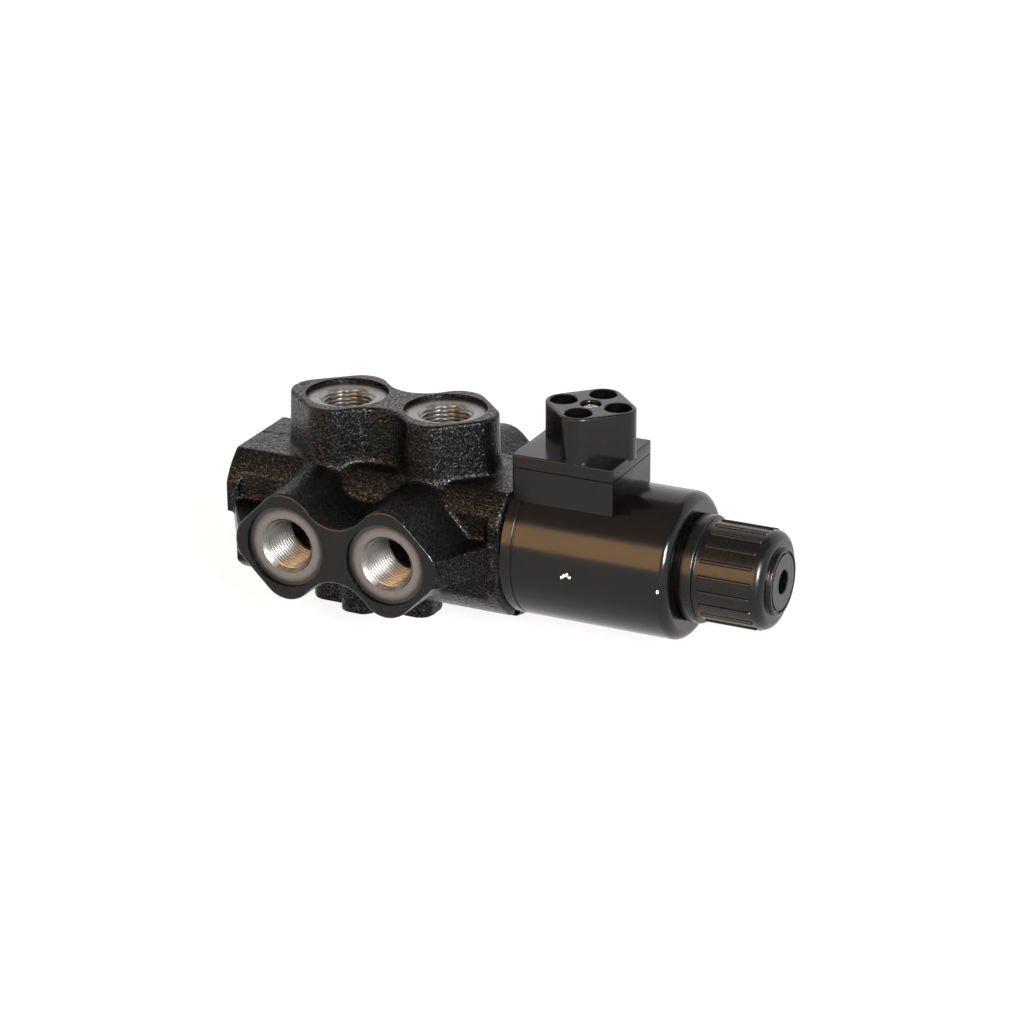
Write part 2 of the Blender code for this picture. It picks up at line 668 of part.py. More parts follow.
def solenoid_core():
    """The core tube with its pole piece, armature, push pin, end stop and hand override."""
    groove_x = TUBE_LEFT + CORE_THREAD_LENGTH / 2
    outer = [(TUBE_RIGHT, TUBE_R), (TUBE_SHOULDER, TUBE_R), (TUBE_SHOULDER, CORE_THREAD_R)]
    outer += [*groove_of(groove_x, CORE_THREAD_R, TUBE_SEAL_R), (TUBE_LEFT, CORE_THREAD_R)]
    bore = [(TUBE_LEFT, TUBE_BORE_R), (TUBE_RIGHT, TUBE_BORE_R)]
    turned("core_tube", outer, bore, BRIGHT_STEEL, PORT_STEPS)
    seal("core_tube_seal", groove_x, CORE_THREAD_R - TUBE_SEAL_R, TUBE_SEAL_R)
    ring("pole_piece", POLE_RIGHT, POLE_LEFT, CORE_R, PUSH_PIN_R + RUNNING_GAP, BRIGHT_STEEL)
    solid_round("push_pin", ARMATURE_LEFT - SEAT_GAP, SPOOL_RIGHT + SEAT_GAP, PUSH_PIN_R, BRIGHT_STEEL)
    solid_round("armature", ARMATURE_RIGHT, ARMATURE_LEFT, CORE_R, BRIGHT_STEEL)
    hole_r = OVERRIDE_R + RUNNING_GAP
    pocket_floor = STOP_RIGHT - OVERRIDE_POCKET_DEPTH
    outer = [(STOP_RIGHT, TUBE_R), (STOP_SHOULDER, TUBE_R), (STOP_SHOULDER, CORE_R), (STOP_LEFT, CORE_R)]
    bore = [(STOP_LEFT, hole_r), (pocket_floor, hole_r)]
    bore += [(pocket_floor, OVERRIDE_POCKET_R), (STOP_RIGHT, OVERRIDE_POCKET_R)]
    turned("tube_stop", outer, bore, BRIGHT_STEEL, PORT_STEPS)
    solid_round("override_pin", STOP_RIGHT + OVERRIDE_REACH, ARMATURE_RIGHT + SEAT_GAP, OVERRIDE_R, BRASS)
    seal("override_seal", pocket_floor + SEAT_GAP + PIN_SEAL_R, hole_r + PIN_SEAL_R, PIN_SEAL_R)


def coil():
    """The coil can with its washers, bobbin, winding and the seals at both ends."""
    seal_pocket_r = COIL_BORE_R + 2 * COIL_SEAL_R + 2 * SEAT_GAP
    seal_pocket_end = COIL_LEFT + 2 * COIL_SEAL_R + SEAT_GAP
    seam = COIL_LEFT + COIL_SEAM_OFFSET
    fillet_r = COIL_END_FILLET
    rim_left = COIL_RIGHT - COIL_RIM
    outer = [(COIL_RIGHT, COIL_MOUTH_R), *arc((COIL_RIGHT - fillet_r, COIL_R - fillet_r), fillet_r, 0, 90)]
    outer += [
        (seam + COIL_SEAM_WIDTH / 2, COIL_R),
        (seam, COIL_R - COIL_SEAM_DEPTH),
        (seam - COIL_SEAM_WIDTH / 2, COIL_R),
        (COIL_LEFT + COIL_EDGE, COIL_R),
        (COIL_LEFT, COIL_R - COIL_EDGE),
    ]
    bore = [(COIL_LEFT, seal_pocket_r), (seal_pocket_end, seal_pocket_r), (seal_pocket_end, COIL_BORE_R)]
    bore += [(COIL_FLOOR, COIL_BORE_R), (COIL_FLOOR, COIL_CAVITY_R)]
    bore += [(rim_left, COIL_CAVITY_R), (rim_left, COIL_MOUTH_R)]
    turned("coil_can", outer, bore, BLACK_STEEL, FINE_STEPS)
    seal("coil_front_seal", COIL_LEFT + COIL_SEAL_R, COIL_BORE_R + SEAT_GAP + COIL_SEAL_R, COIL_SEAL_R)

    fill_r = COIL_CAVITY_R - SEAT_GAP
    washer_left = COIL_FLOOR + SEAT_GAP
    bobbin_left = washer_left + FLUX_WASHER + SEAT_GAP
    end_washer_left = END_WASHER_RIGHT - END_WASHER
    bobbin_right = end_washer_left - SEAT_GAP
    hub_r = COIL_BORE_R + BOBBIN_WALL
    ring("front_flux_washer", washer_left + FLUX_WASHER, washer_left, fill_r, COIL_BORE_R, SPRING_STEEL)
    ring("rear_flux_washer", END_WASHER_RIGHT, end_washer_left, fill_r, COIL_BORE_R, SPRING_STEEL)
    room_right = bobbin_right - BOBBIN_FLANGE
    room_left = bobbin_left + BOBBIN_FLANGE
    outer = [(bobbin_right, fill_r), (room_right, fill_r), (room_right, hub_r)]
    outer += [(room_left, hub_r), (room_left, fill_r), (bobbin_left, fill_r)]
    turned("coil_bobbin", outer, [(bobbin_left, COIL_BORE_R), (bobbin_right, COIL_BORE_R)], NATURAL_PLASTIC)
    winding_r = fill_r - WINDING_INSET
    ring("copper_winding", room_right - SEAT_GAP, room_left + SEAT_GAP, winding_r, hub_r + SEAT_GAP, COPPER)
    rear_seal_r = (NUT_SPIGOT_R + COIL_BORE_R) / 2
    seal("coil_rear_seal", END_WASHER_RIGHT + SEAT_GAP + COIL_SEAL_R, rear_seal_r, COIL_SEAL_R)


def rounded_square(half, corner_r, centre_x):
    """A square stood on one corner: its corners are rounded and lie along X and Y."""
    reach = (half - corner_r) * math.sqrt(2)
    outline = []
    for quarter in range(4):
        turn = math.radians(90 * quarter)
        centre = (centre_x + reach * math.cos(turn), reach * math.sin(turn))
        outline += arc(centre, corner_r, 90 * quarter - 45, 90 * quarter + 45)
    return outline


def terminal_tower():
    """The saddle block on the coil, and the gasket in a pocket of its top."""
    block = box(
        "terminal_tower",
        (TOWER_LEFT, -TOWER_HALF_WIDTH, 0),
        (TOWER_RIGHT, TOWER_HALF_WIDTH, TOWER_BLOCK_TOP),
        BLACK_PLASTIC,
        TOWER_EDGE,
    )
    saddle = solid_round("tower_saddle", COIL_RIGHT, COIL_LEFT - PAST, COIL_R + SEAT_GAP, steps=FINE_STEPS)
    wide = TOWER_HALF_WIDTH - GASKET_INSET
    left = TOWER_LEFT + GASKET_INSET
    right = TOWER_RIGHT - GASKET_INSET
    gap = SEAT_GAP
    pocket_low = (left - gap, -wide - gap, GASKET_BOTTOM - gap)
    pocket = box("gasket_pocket", pocket_low, (right + gap, wide + gap, TOWER_BLOCK_TOP + PAST))
    cut(block, [saddle, pocket])
    box("connector_gasket", (left, -wide, GASKET_BOTTOM), (right, wide, GASKET_TOP), RUBBER)


def well_places():
    """Centre and direction of each contact well."""
    places = []
    for quarter in range(4):
        turn = math.radians(90 * quarter)
        x = PLUG_BASE_X + WELL_CIRCLE_R * math.cos(turn)
        places.append((x, WELL_CIRCLE_R * math.sin(turn), turn))
    return places


def connector_base():
    """The plug base: a plate on the tower and a square block with four contact wells and a screw hole."""
    plate = box(
        "connector_base",
        (TOWER_LEFT, -TOWER_HALF_WIDTH, PLATE_BOTTOM),
        (TOWER_RIGHT, TOWER_HALF_WIDTH, TOWER_TOP),
        BLACK_PLASTIC,
        TOWER_EDGE,
    )
    outline = rounded_square(PLUG_BASE_HALF, PLUG_BASE_CORNER_R, PLUG_BASE_X)
    block = extruded("plug_block", outline, TOWER_TOP - BASE_PLATE / 2, PLUG_BASE_TOP)
    soften(block, PLUG_BASE_EDGE)
    fuse(plate, [block])
    over = PLUG_BASE_TOP + PAST
    floor = PLUG_BASE_TOP - WELL_DEPTH
    cutters = [
        rod(f"well_{index + 1}", (x, y, floor), (x, y, over), WELL_R, INNER_STEPS)
        for index, (x, y, _) in enumerate(well_places())
    ]
    head_floor = PLUG_BASE_TOP - SCREW_HOLE_DEPTH
    shank_end = head_floor - SCREW_SHANK_LENGTH - SEAT_GAP
    shank_r = SCREW_SHANK_R + RUNNING_GAP
    for name, low, high, radius in (
        ("screw_hole", head_floor, over, SCREW_HOLE_R),
        ("screw_shank_hole", shank_end, head_floor + PAST, shank_r),
    ):
        cutters.append(rod(name, (PLUG_BASE_X, 0, low), (PLUG_BASE_X, 0, high), radius, INNER_STEPS))
    cut(plate, cutters)


def contacts():
    """Four flat contact blades standing in the wells."""
    low = PLUG_BASE_TOP - WELL_DEPTH + SEAT_GAP
    for index, (x, y, turn) in enumerate(well_places()):
        blade = box(
            f"contact_{index + 1}",
            (-CONTACT_THICKNESS / 2, -CONTACT_WIDTH / 2, 0),
            (CONTACT_THICKNESS / 2, CONTACT_WIDTH / 2, CONTACT_HEIGHT),
            BRASS,
        )
        blade.location = (x, y, low)
        blade.rotation_euler = (0, 0, turn)


def connector_screw():
    """The slotted screw in the middle of the plug base."""
    bottom = PLUG_BASE_TOP - SCREW_HOLE_DEPTH + SEAT_GAP
    top = bottom + SCREW_HEAD
    outer = [(top, 0), (top, SCREW_HEAD_R), (bottom, SCREW_HEAD_R), (bottom, SCREW_SHANK_R)]
    end = bottom - SCREW_SHANK_LENGTH
    outer += [(end, SCREW_SHANK_R), (end, 0)]
    made = turned("connector_screw", outer, (), BRIGHT_STEEL)
    made.rotation_euler = (0, 0, 0)
    made.location = (PLUG_BASE_X, 0, 0)
    slot_low = (PLUG_BASE_X - SCREW_HOLE_R, -SCREW_SLOT / 2, top - SCREW_SLOT_DEPTH)
    slot_high = (PLUG_BASE_X + SCREW_HOLE_R, SCREW_SLOT / 2, top + PAST)
    cut(made, [box("screw_slot", slot_low, slot_high)])


def ring_nut():
    """The knob that clamps the coil: spigot, skirt, ribbed grip and an end face with the override hole."""
    edge = NUT_EDGE_R
    shoulder = NUT_SHOULDER_R
    groove_out = NUT_FACE_GROOVE_R + NUT_FACE_GROOVE_WIDTH / 2
    groove_in = NUT_FACE_GROOVE_R - NUT_FACE_GROOVE_WIDTH / 2
    groove_floor = NUT_RIGHT - NUT_FACE_GROOVE_DEPTH
    outer = [
        (NUT_RIGHT, groove_in),
        (groove_floor, groove_in),
        (groove_floor, groove_out),
        (NUT_RIGHT, groove_out),
        (NUT_RIGHT - edge / 2, NUT_BOSS_R),
        (NUT_GRIP_RIGHT, NUT_BOSS_R),
        *arc((NUT_GRIP_RIGHT - shoulder, NUT_R - shoulder), shoulder, 0, 90),
        (NUT_GRIP_LEFT, NUT_R),
        (NUT_GRIP_LEFT - edge / 2, NUT_SKIRT_R),
        (NUT_SKIRT_LEFT + edge, NUT_SKIRT_R),
        (NUT_SKIRT_LEFT, NUT_SPIGOT_R),
        (NUT_LEFT, NUT_SPIGOT_R),
    ]
    thread_r = TUBE_R + SEAT_GAP
    bore = [(NUT_LEFT, thread_r), (NUT_WALL_LEFT, thread_r)]
    bore += [(NUT_WALL_LEFT, NUT_HOLE_R), (NUT_RIGHT, NUT_HOLE_R)]
    made = turned("ring_nut", outer, bore, BLACK_PLASTIC, FINE_STEPS)
    rib_left = NUT_GRIP_LEFT + NUT_RIB_START
    ribs = []
    for index in range(NUT_RIBS):
        rib = box(
            f"nut_rib_{index + 1}",
            (rib_left, -NUT_RIB_WIDTH / 2, NUT_R - NUT_RIB_HEIGHT),
            (rib_left + NUT_RIB_LENGTH, NUT_RIB_WIDTH / 2, NUT_R + NUT_RIB_HEIGHT),
        )
        rib.rotation_euler = (NUT_RIB_TURN + 2 * math.pi * index / NUT_RIBS, 0, 0)
        ribs.append(rib)
    fuse(made, ribs)


valve_body()
end_plug()
spool()
return_spring()
solenoid_core()
coil()
terminal_tower()
connector_base()
contacts()
connector_screw()
ring_nut()
for piece in PARTS.objects:
    if piece.type == "MESH":
        smooth(piece)
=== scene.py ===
"""Looks of the solenoid directional valve: fine meshes, finishes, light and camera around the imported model.

Shapes are written in millimetres in the frame of the spool axis: X along it, Z up, zero height on the axis.
"""

import math

import bmesh
import bpy
import numpy as np
from mathutils import Matrix, Vector, noise


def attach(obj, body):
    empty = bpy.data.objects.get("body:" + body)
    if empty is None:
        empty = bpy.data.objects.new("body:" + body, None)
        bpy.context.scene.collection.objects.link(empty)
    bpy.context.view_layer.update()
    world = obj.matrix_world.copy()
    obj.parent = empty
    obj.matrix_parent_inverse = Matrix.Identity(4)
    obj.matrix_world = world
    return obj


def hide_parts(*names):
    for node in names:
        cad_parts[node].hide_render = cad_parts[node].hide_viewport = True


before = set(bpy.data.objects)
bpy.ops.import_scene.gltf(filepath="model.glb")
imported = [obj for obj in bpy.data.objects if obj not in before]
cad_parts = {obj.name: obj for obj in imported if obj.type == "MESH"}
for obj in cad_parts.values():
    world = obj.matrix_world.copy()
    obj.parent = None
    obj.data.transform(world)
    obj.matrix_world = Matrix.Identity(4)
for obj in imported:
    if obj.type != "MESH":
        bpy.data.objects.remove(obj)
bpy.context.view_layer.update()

# Shared: seat gap in the CAD model, and how far cutters reach past a face
MM = 0.001
AXIS_HEIGHT = 32.0
AXIS_FRAME = Matrix.Translation((0, 0, AXIS_HEIGHT * MM))
SEAT_GAP = 0.3
PAST = 1.0

# Casting
BODY_LEFT = -48.5
BODY_RIGHT = 45.6
HALF_PITCH = 17.1
BARREL_R = 24.7
BARREL_TOP = 19.8
BARREL_SIDE = 20.5
FLANGE_WIDTH = 4.2
FLANGE_EDGE_R = 1.4
FLANGE_SIDE = 22.3
RELIEF_SIDE = 17.5
RELIEF_TOP = 0.8
RELIEF_LENGTH = 14.0
RIB_HALF = 4.5
RIB_FLANGE_Y = 20.0
LEFT_FOOT = (-11.3, -3.2)
RIGHT_FOOT = (6.2, 1.9)
FOOT_LENGTH = 12.0
FOOT_WIDTH = 14.0
FOOT_CORNER_R = 4.5
FOOT_TOP = -20.0
FOOT_WEB_HALF = 5.0
FOOT_RAIL_HALF = 4.6
FOOT_RAIL_LEFT = -30.0
FOOT_HOLE_R = 3.4
FOOT_HOLE_DEPTH = 11.0
NOTCH_WIDTH = 4.0
NOTCH_DEPTH = 4.0
NOTCH_REACH = 2.5
NOTCH_ANGLE = math.radians(24)
CASTING_VOXEL = 0.45
EDGE_SMOOTHING = 5
FILLET_SMOOTHING = 24
FILLET_NORMALS_EVERY = 5
MACHINED_MARGIN = 0.4
MACHINED_SKIN = 0.15
SKIN_WAVE = 0.05
SKIN_WAVE_LENGTH = 4.0
SKIN_GRAIN = 0.035
SKIN_GRAIN_LENGTH = 1.3
GATE_MARK = 0.45
GATE_MARK_Y = 0.6
GATE_MARK_HALF = 1.3
GATE_MARK_DROP = 0.5
GATE_MARK_LENGTH = 1.6
GATE_MARK_SINK = 0.3

# Port bosses
TOP_FACE = 37.8
SIDE_FACE = 42.1
SIDE_PORT_RISE = 1.5
LOBE_FLAT = 14.9
LOBE_CORNER_R = 9.0
LOBE_WAIST = 9.0
TOP_BOSS_EXTRA = 1.4
BOSS_EDGE_R = 0.7
BOSS_DRAFT = math.radians(2)

# Ports
SPOT_FACE_R = 13.0
SPOT_FACE_DEPTH = 1.5
PORT_DEPTH = 19.0
PORT_SLEEVE_R = 9.3
PORT_SKIN = 1.0
PORT_MOUTH_R = 8.8
THREAD_MAJOR_R = 8.33
THREAD_MINOR_R = 7.475
THREAD_PITCH = 1.337
THREAD_LENGTH = 17.0
THREAD_ROWS_A_TURN = 10
THREAD_RUNOUT = 0.3
SLEEVE_PLAY = 0.02
RING_EDGE = 0.08
RING_ROWS = (12.0, 11.0, 10.0)
MOUTH_EDGE = 0.1
PASSAGE_R = 3.4
PASSAGE_SHIFT = 9.5
PASSAGE_OVERLAP = 2.0
SPOOL_BORE_R = 8.0
CORE_BORE_R = 11.2
CORE_BORE_END = 33.7
PLUG_BORE_R = 11.2
PLUG_BORE_END = -40.2

# End plug
PLUG_LEFT = -48.1
PLUG_RIGHT = -40.5
PLUG_R = 10.9
PLUG_CHAMFER = 0.7
PLUG_GROOVE_X = -42.1
PLUG_GROOVE_HALF = 1.0
PLUG_GROOVE_R = 9.3
HEX_FLATS = 8.0
HEX_DEPTH = 4.4
PLUG_EDGE = 0.12

# Coil
COIL_LEFT = 45.9
COIL_RIGHT = 100.6
COIL_R = 22.85
COIL_BORE_R = 9.9
COIL_CAVITY_R = 18.5
COIL_FLOOR = 49.4
COIL_FILLET = 3.2
COIL_EDGE = 0.3
COIL_RIM = 2.2
COIL_MOUTH_R = 16.2
COIL_LIP = 0.4
COIL_SEAM_OFFSET = 3.5
COIL_SEAM_WIDTH = 0.7
COIL_SEAM_DEPTH = 0.4
COIL_SEAM_SLOPE = 0.15
COIL_SEAM_LIP = 0.1

# Terminal tower and plug base
TOWER_LEFT = 46.4
TOWER_RIGHT = 79.6
TOWER_HALF_WIDTH = 14.4
TOWER_BLOCK_TOP = 28.3
TOWER_EDGE = 0.8
SADDLE_GAP = 0.03
PLATE_EDGE = 0.4
GASKET_POCKET_FLOOR = 27.4
GASKET_POCKET_INSET = 1.7
PLATE_BOTTOM = 28.6
PLATE_TOP = 32.5
PLUG_BASE_X = 65.93
PLUG_BASE_HALF = 12.0
PLUG_BASE_CORNER_R = 6.0
PLUG_BASE_TOP = 46.9
PLUG_BASE_EDGE = 0.6
WELL_CIRCLE_R = 9.0
WELL_R = 4.2
WELL_DEPTH = 10.0
WELL_CHAMFER = 0.3
SCREW_HOLE_R = 3.2
SCREW_HOLE_DEPTH = 6.5
SCREW_HEAD_R = 2.6
SCREW_HEAD_DROP = 1.0
SCREW_HEAD_EDGE = 0.6
SCREW_SHANK_R = 1.5
SCREW_SHANK_PLAY = 0.1
SCREW_SHANK_LENGTH = 6.0
SCREW_SLOT = 0.7
SCREW_SLOT_DEPTH = 0.8

# Ring nut
NUT_LEFT = 98.2
NUT_SKIRT_LEFT = 101.8
NUT_GRIP_LEFT = 105.8
NUT_GRIP_RIGHT = 127.6
NUT_SHOULDER_R = 3.0
NUT_RIGHT = 129.0
NUT_WALL_LEFT = 121.5
NUT_R = 15.2
NUT_SPIGOT_R = 15.6
NUT_SKIRT_R = 16.6
NUT_BOSS_R = 10.4
NUT_THREAD_R = 9.9
NUT_HOLE_R = 3.7
NUT_END_EDGE_R = 0.5
NUT_SPIGOT_EDGE = 0.3
NUT_SKIRT_LEFT_R = 0.5
NUT_SKIRT_RIGHT_R = 0.7
NUT_GRIP_ROOT_R = 0.4
NUT_BOSS_ROOT_R = 0.3
NUT_HOLE_EDGE = 0.3
NUT_GROOVE_R = 9.0
NUT_GROOVE_WIDTH = 0.8
NUT_GROOVE_DEPTH = 0.6
NUT_GROOVE_SLOPE = 0.1
NUT_RIBS = 20
NUT_RIB_WIDTH = 1.15
NUT_RIB_HEIGHT = 0.55
NUT_RIB_LENGTH = 16.8
NUT_RIB_START = 1.6
NUT_RIB_MARGIN = 0.2
NUT_RIB_TURN = math.radians(4.2)
NUT_RIB_ROWS = 84
NUT_STEPS = NUT_RIBS * 36

# Finishes: colours come in pairs, and grain lengths and depths are in millimetres
BLACK_SHEEN = 0.27
CASTING_BLACK = ((0.0008, 0.0009, 0.0009), (0.0015, 0.0014, 0.0013))
CASTING_ROUGHNESS = (0.08, 0.17)
CASTING_SPECKS = (0.05, 0.6)
SPECK_LENGTH = 0.5
SPECK_RANGE = (0.5, 0.68)
PEBBLE_LENGTH = 0.8
PEBBLE_DEPTH = 0.32
GRAIN_LENGTH = 0.4
GRAIN_DEPTH = 0.05
MACHINED_BUMP = 0.08
MACHINED_FADE = (0.8, 0.2)
PAINT_BLACK = ((0.0010, 0.0011, 0.0011), (0.0016, 0.0016, 0.0015))
PAINT_ROUGHNESS = (0.14, 0.2)
PEEL_LENGTH = 1.8
PEEL_DEPTH = 0.012
CHIP_STEEL = (0.72, 0.71, 0.69)
CHIP_RAGGED = 1.2
CHIP_REACH = (0.9, 1.1)
CHIP_DEPTH = 0.08
CHIPS = (
    (66.7, -22.8, -0.8),
    (67.6, -22.85, -0.1),
    (68.5, -22.85, 0.3),
    (69.3, -22.84, -0.4),
    (98.0, -22.8, 0.0),
)
PLASTIC_BLACK = ((0.0010, 0.0010, 0.0010), (0.0018, 0.0017, 0.0016))
PLASTIC_ROUGHNESS = (0.16, 0.26)
NUT_ROUGHNESS = (0.2, 0.3)
PLASTIC_GRAIN = 0.35
PLASTIC_DEPTH = 0.004
# Warm tint of the turned port steel: a painted warm reflection of the amber panel
STEEL_PAINTED_WARM_TINT = (1.0, 0.96, 0.90)
STEEL_SPREAD = 1.25
STEEL_ROUGHNESS = (0.26, 0.40)
# Levels of the same turned steel: the top ports are painted lighter and the side ports darker, as painted
# light and shade
SIDE_PORT_STEEL_SHADED = 0.16
TOP_PORT_STEEL_LIT = 0.21
SIDE_BRIGHT_R = 11.3
TOP_BRIGHT_R = 12.4
STAIN = (0.12, 0.095, 0.075)
STAIN_WIDTH = 1.0
RIM_OFFSET = 0.4
RIM_RAGGED = 0.8
RIM_BLUR = 0.25
RIM_BLACK = (0.006, 0.006, 0.006)
TOOL_MARK_PITCH = 0.22
TOOL_MARK_DEPTH = 0.004
COPPER = ((0.28, 0.10, 0.04), (0.62, 0.27, 0.12))
WIRE_SCALE = 314.0
WIRE_DEPTH = 0.15

# Speckled finishes: colours, roughnesses, grain, depth and metallic share
SPECKLED = {
    "bright_steel": ((0.55, 0.54, 0.52), (0.66, 0.65, 0.63), (0.2, 0.34), 0.5, 0.004, 1.0),
    "spring_steel": ((0.34, 0.34, 0.35), (0.46, 0.46, 0.46), (0.25, 0.4), 0.4, 0.004, 1.0),
    "brass": ((0.62, 0.45, 0.17), (0.74, 0.56, 0.24), (0.2, 0.36), 0.5, 0.004, 1.0),
    "natural_plastic": ((0.62, 0.58, 0.48), (0.7, 0.66, 0.56), (0.35, 0.5), 0.8, 0.01, 0.0),
    "seal_rubber": ((0.012, 0.012, 0.012), (0.022, 0.022, 0.021), (0.5, 0.68), 0.4, 0.01, 0.0),
}

# Light and floor, in metres
WORLD_LEVEL = 1.35
FLOOR_REACH = 4.0
FLOOR_GREY = 0.86
FLOOR_GLOW = 1.04
FLOOR_GLOW_SHARE = 0.82
CARD_LOW = (-1.8, -1.45)
CARD_HIGH = (1.8, 1.05)
CARD_HEIGHT = 1.5
CARD_GREY = 0.2
WARM_PANEL_PLACE = (-0.75, -1.6, 0.835)
WARM_PANEL_TARGET = (-0.75, 0.0, 0.835)
WARM_PANEL_SIZE = (1.7, 1.17)
WARM_PANEL_RADIANCE = (6.0, 3.1, 0.9)
WHITE_STRIP_PLACE = (0.87, -0.79, 0.58)
WHITE_STRIP_TARGET = (0.04, 0.0, 0.04)
WHITE_STRIP_SIZE = (0.35, 0.45)
WHITE_STRIP_RADIANCE = (90.0, 90.0, 90.0)

# Facets
ROUND_STEPS = 192
COIL_STEPS = 256
BARREL_STEPS = 160
PORT_STEPS = 144
BORE_STEPS = 96
WELL_STEPS = 64
ROD_STEPS = 48
ARC_STEPS = 12

# Camera, fitted to the photograph's view
CAMERA_PLACE = (0.48518, -0.91777, 0.45161)
CAMERA_AZIMUTH = math.radians(25.907)
CAMERA_ELEVATION = math.radians(22.003)
CAMERA_ROLL = math.radians(-0.400)
CAMERA_LENS = 126.05
CAMERA_SENSOR = 36.0


def new_object(name, points, faces, place=None):
    """A mesh object of points in millimetres, with its faces turned outwards."""
    mesh = bpy.data.meshes.new(name)
    mesh.from_pydata((np.asarray(points, dtype=float) * MM).tolist(), [], [list(face) for face in faces])
    bm = bmesh.new()
    bm.from_mesh(mesh)
    bmesh.ops.remove_doubles(bm, verts=bm.verts, dist=1e-7)
    bmesh.ops.recalc_face_normals(bm, faces=bm.faces)
    bm.to_mesh(mesh)
    bm.free()
    made = bpy.data.objects.new(name, mesh)
    bpy.context.scene.collection.objects.link(made)
    if place is None:
        place = Matrix.Identity(4)
    in_metres = place.copy()
    in_metres.translation *= MM
    made.matrix_world = AXIS_FRAME @ in_metres
    return made


def smooth(made, angle=30):
    """Smooth shading with sharp corners kept."""
    made.data.shade_smooth()
    made.data.set_sharp_from_angle(angle=math.radians(angle))


def applied(made):
    """The object with its modifiers applied to its mesh."""
    bpy.context.view_layer.update()
    seen = made.evaluated_get(bpy.context.evaluated_depsgraph_get())
    mesh = bpy.data.meshes.new_from_object(seen)
    old = made.data
    made.modifiers.clear()
    made.data = mesh
    bpy.data.meshes.remove(old)
    return made


def combine(made, others, operation, solver="MANIFOLD"):
    """One Boolean step for each other solid, which is then deleted."""
    for other in others:
        step = made.modifiers.new("step", "BOOLEAN")
        step.operation = operation
        step.object = other
        step.solver = solver
    applied(made)
    for other in others:
        bpy.data.objects.remove(other)
    return made


def soften(made, width, segments=4, angle=40):
    """Round edges, applied."""
    bevel = made.modifiers.new("soften", "BEVEL")
    bevel.width = width * MM
    bevel.segments = segments
    bevel.limit_method = "ANGLE"
    bevel.angle_limit = math.radians(angle)
    return applied(made)


def grid_faces(rows, columns, close_rows=False):
    """Quads of a grid whose columns go round."""
    row = np.arange(rows if close_rows else rows - 1)[:, None]
    column = np.arange(columns)[None, :]
    after = (column + 1) % columns
    below = (row + 1) % rows
    here = row * columns
    beyond = below * columns
    corners = (here + column, here + after, beyond + after, beyond + column)
    return np.stack(corners, axis=-1).reshape(-1, 4).tolist()


def arc(centre, radius, start, end, steps=ARC_STEPS):
    """Points of an arc, with its angles in degrees."""
    turns = [math.radians(start + (end - start) * step / steps) for step in range(steps + 1)]
    return [(centre[0] + radius * math.cos(turn), centre[1] + radius * math.sin(turn)) for turn in turns]


def supported(profile, reach=0.12):
    """A profile with points just inside the ends of its long runs, which keep their shading flat."""
    points = [profile[0]]
    for start, end in zip(profile, profile[1:]):
        length = math.dist(start, end)
        if length > 8 * reach:
            for share in (reach / length, 1 - reach / length):
                points.append(tuple(a + (b - a) * share for a, b in zip(start, end)))
        points.append(end)
    return points


def turned(name, profile, steps=ROUND_STEPS, ring=True, place=None, along="X"):
    """A turned solid of (along, radius) points: a closed ring, or a solid whose ends lie on the axis."""
    along_axis, radius = np.array(profile, dtype=float).T
    turn = np.linspace(0, 2 * math.pi, steps, endpoint=False)
    side = -radius[:, None] * np.sin(turn)
    up = radius[:, None] * np.cos(turn)
    travel = np.repeat(along_axis[:, None], steps, axis=1)
    order = (travel, side, up) if along == "X" else (up, side, travel)
    points = np.stack(order, axis=-1).reshape(-1, 3)
    faces = grid_faces(len(profile), steps, close_rows=ring)
    return new_object(name, points, faces, place)


def loft(sections):
    """Points and faces of a closed solid through rings of equal length."""
    points = np.array(sections, dtype=float)
    count = points.shape[1]
    faces = grid_faces(len(sections), count)
    faces.append(list(range(count)))
    faces.append(list(range((len(sections) - 1) * count, len(sections) * count)))
    return points.reshape(-1, 3), faces


def prism(outline, low, high, along):
    """Points and faces of a flat outline carried from low to high along X or Z."""
    if along == "X":
        return loft([[(level, a, b) for a, b in outline] for level in (low, high)])
    return loft([[(a, b, level) for a, b in outline] for level in (low, high)])


def solid(name, parts, place=None):
    """One object from one point and face list."""
    return new_object(name, *parts, place)


def block(low, high):
    """Points and faces of a box between two corners."""
    outline = [(low[0], low[1]), (high[0], low[1]), (high[0], high[1]), (low[0], high[1])]
    return prism(outline, low[2], high[2], "Z")


# Casting


def barrel_section(side, low):
    """The barrel's outline in Y and Z: flat top, with its sides and bottom kept in bounds."""
    start = math.acos(BARREL_TOP / BARREL_R)
    outline = []
    for turn in np.linspace(start, 2 * math.pi - start, BARREL_STEPS):
        y = min(max(BARREL_R * math.sin(turn), -side), side)
        outline.append((y, max(BARREL_R * math.cos(turn), low)))
    return outline


def diamond_pair(grow, left_extra):
    """Two rounded diamonds joined by a waist, moved outwards by grow, with the left end drawn out."""
    corner = LOBE_CORNER_R + grow
    waist = LOBE_WAIST + grow
    reach = (LOBE_FLAT - LOBE_CORNER_R) * math.sqrt(2)
    meeting = reach + corner * math.sqrt(2) - HALF_PITCH
    waist_r = (waist - meeting) / (math.sqrt(2) - 1)
    right = arc((HALF_PITCH + reach, 0), corner, -45, 45)
    far_side = arc((HALF_PITCH, reach), corner, 45, 135)
    far_side += arc((0, waist + waist_r), waist_r, -45, -135)
    far_side += arc((-HALF_PITCH, reach), corner, 45, 135)
    left = [(-u - left_extra, -v) for u, v in right]
    return right + far_side + left + [(-u, -v) for u, v in far_side]


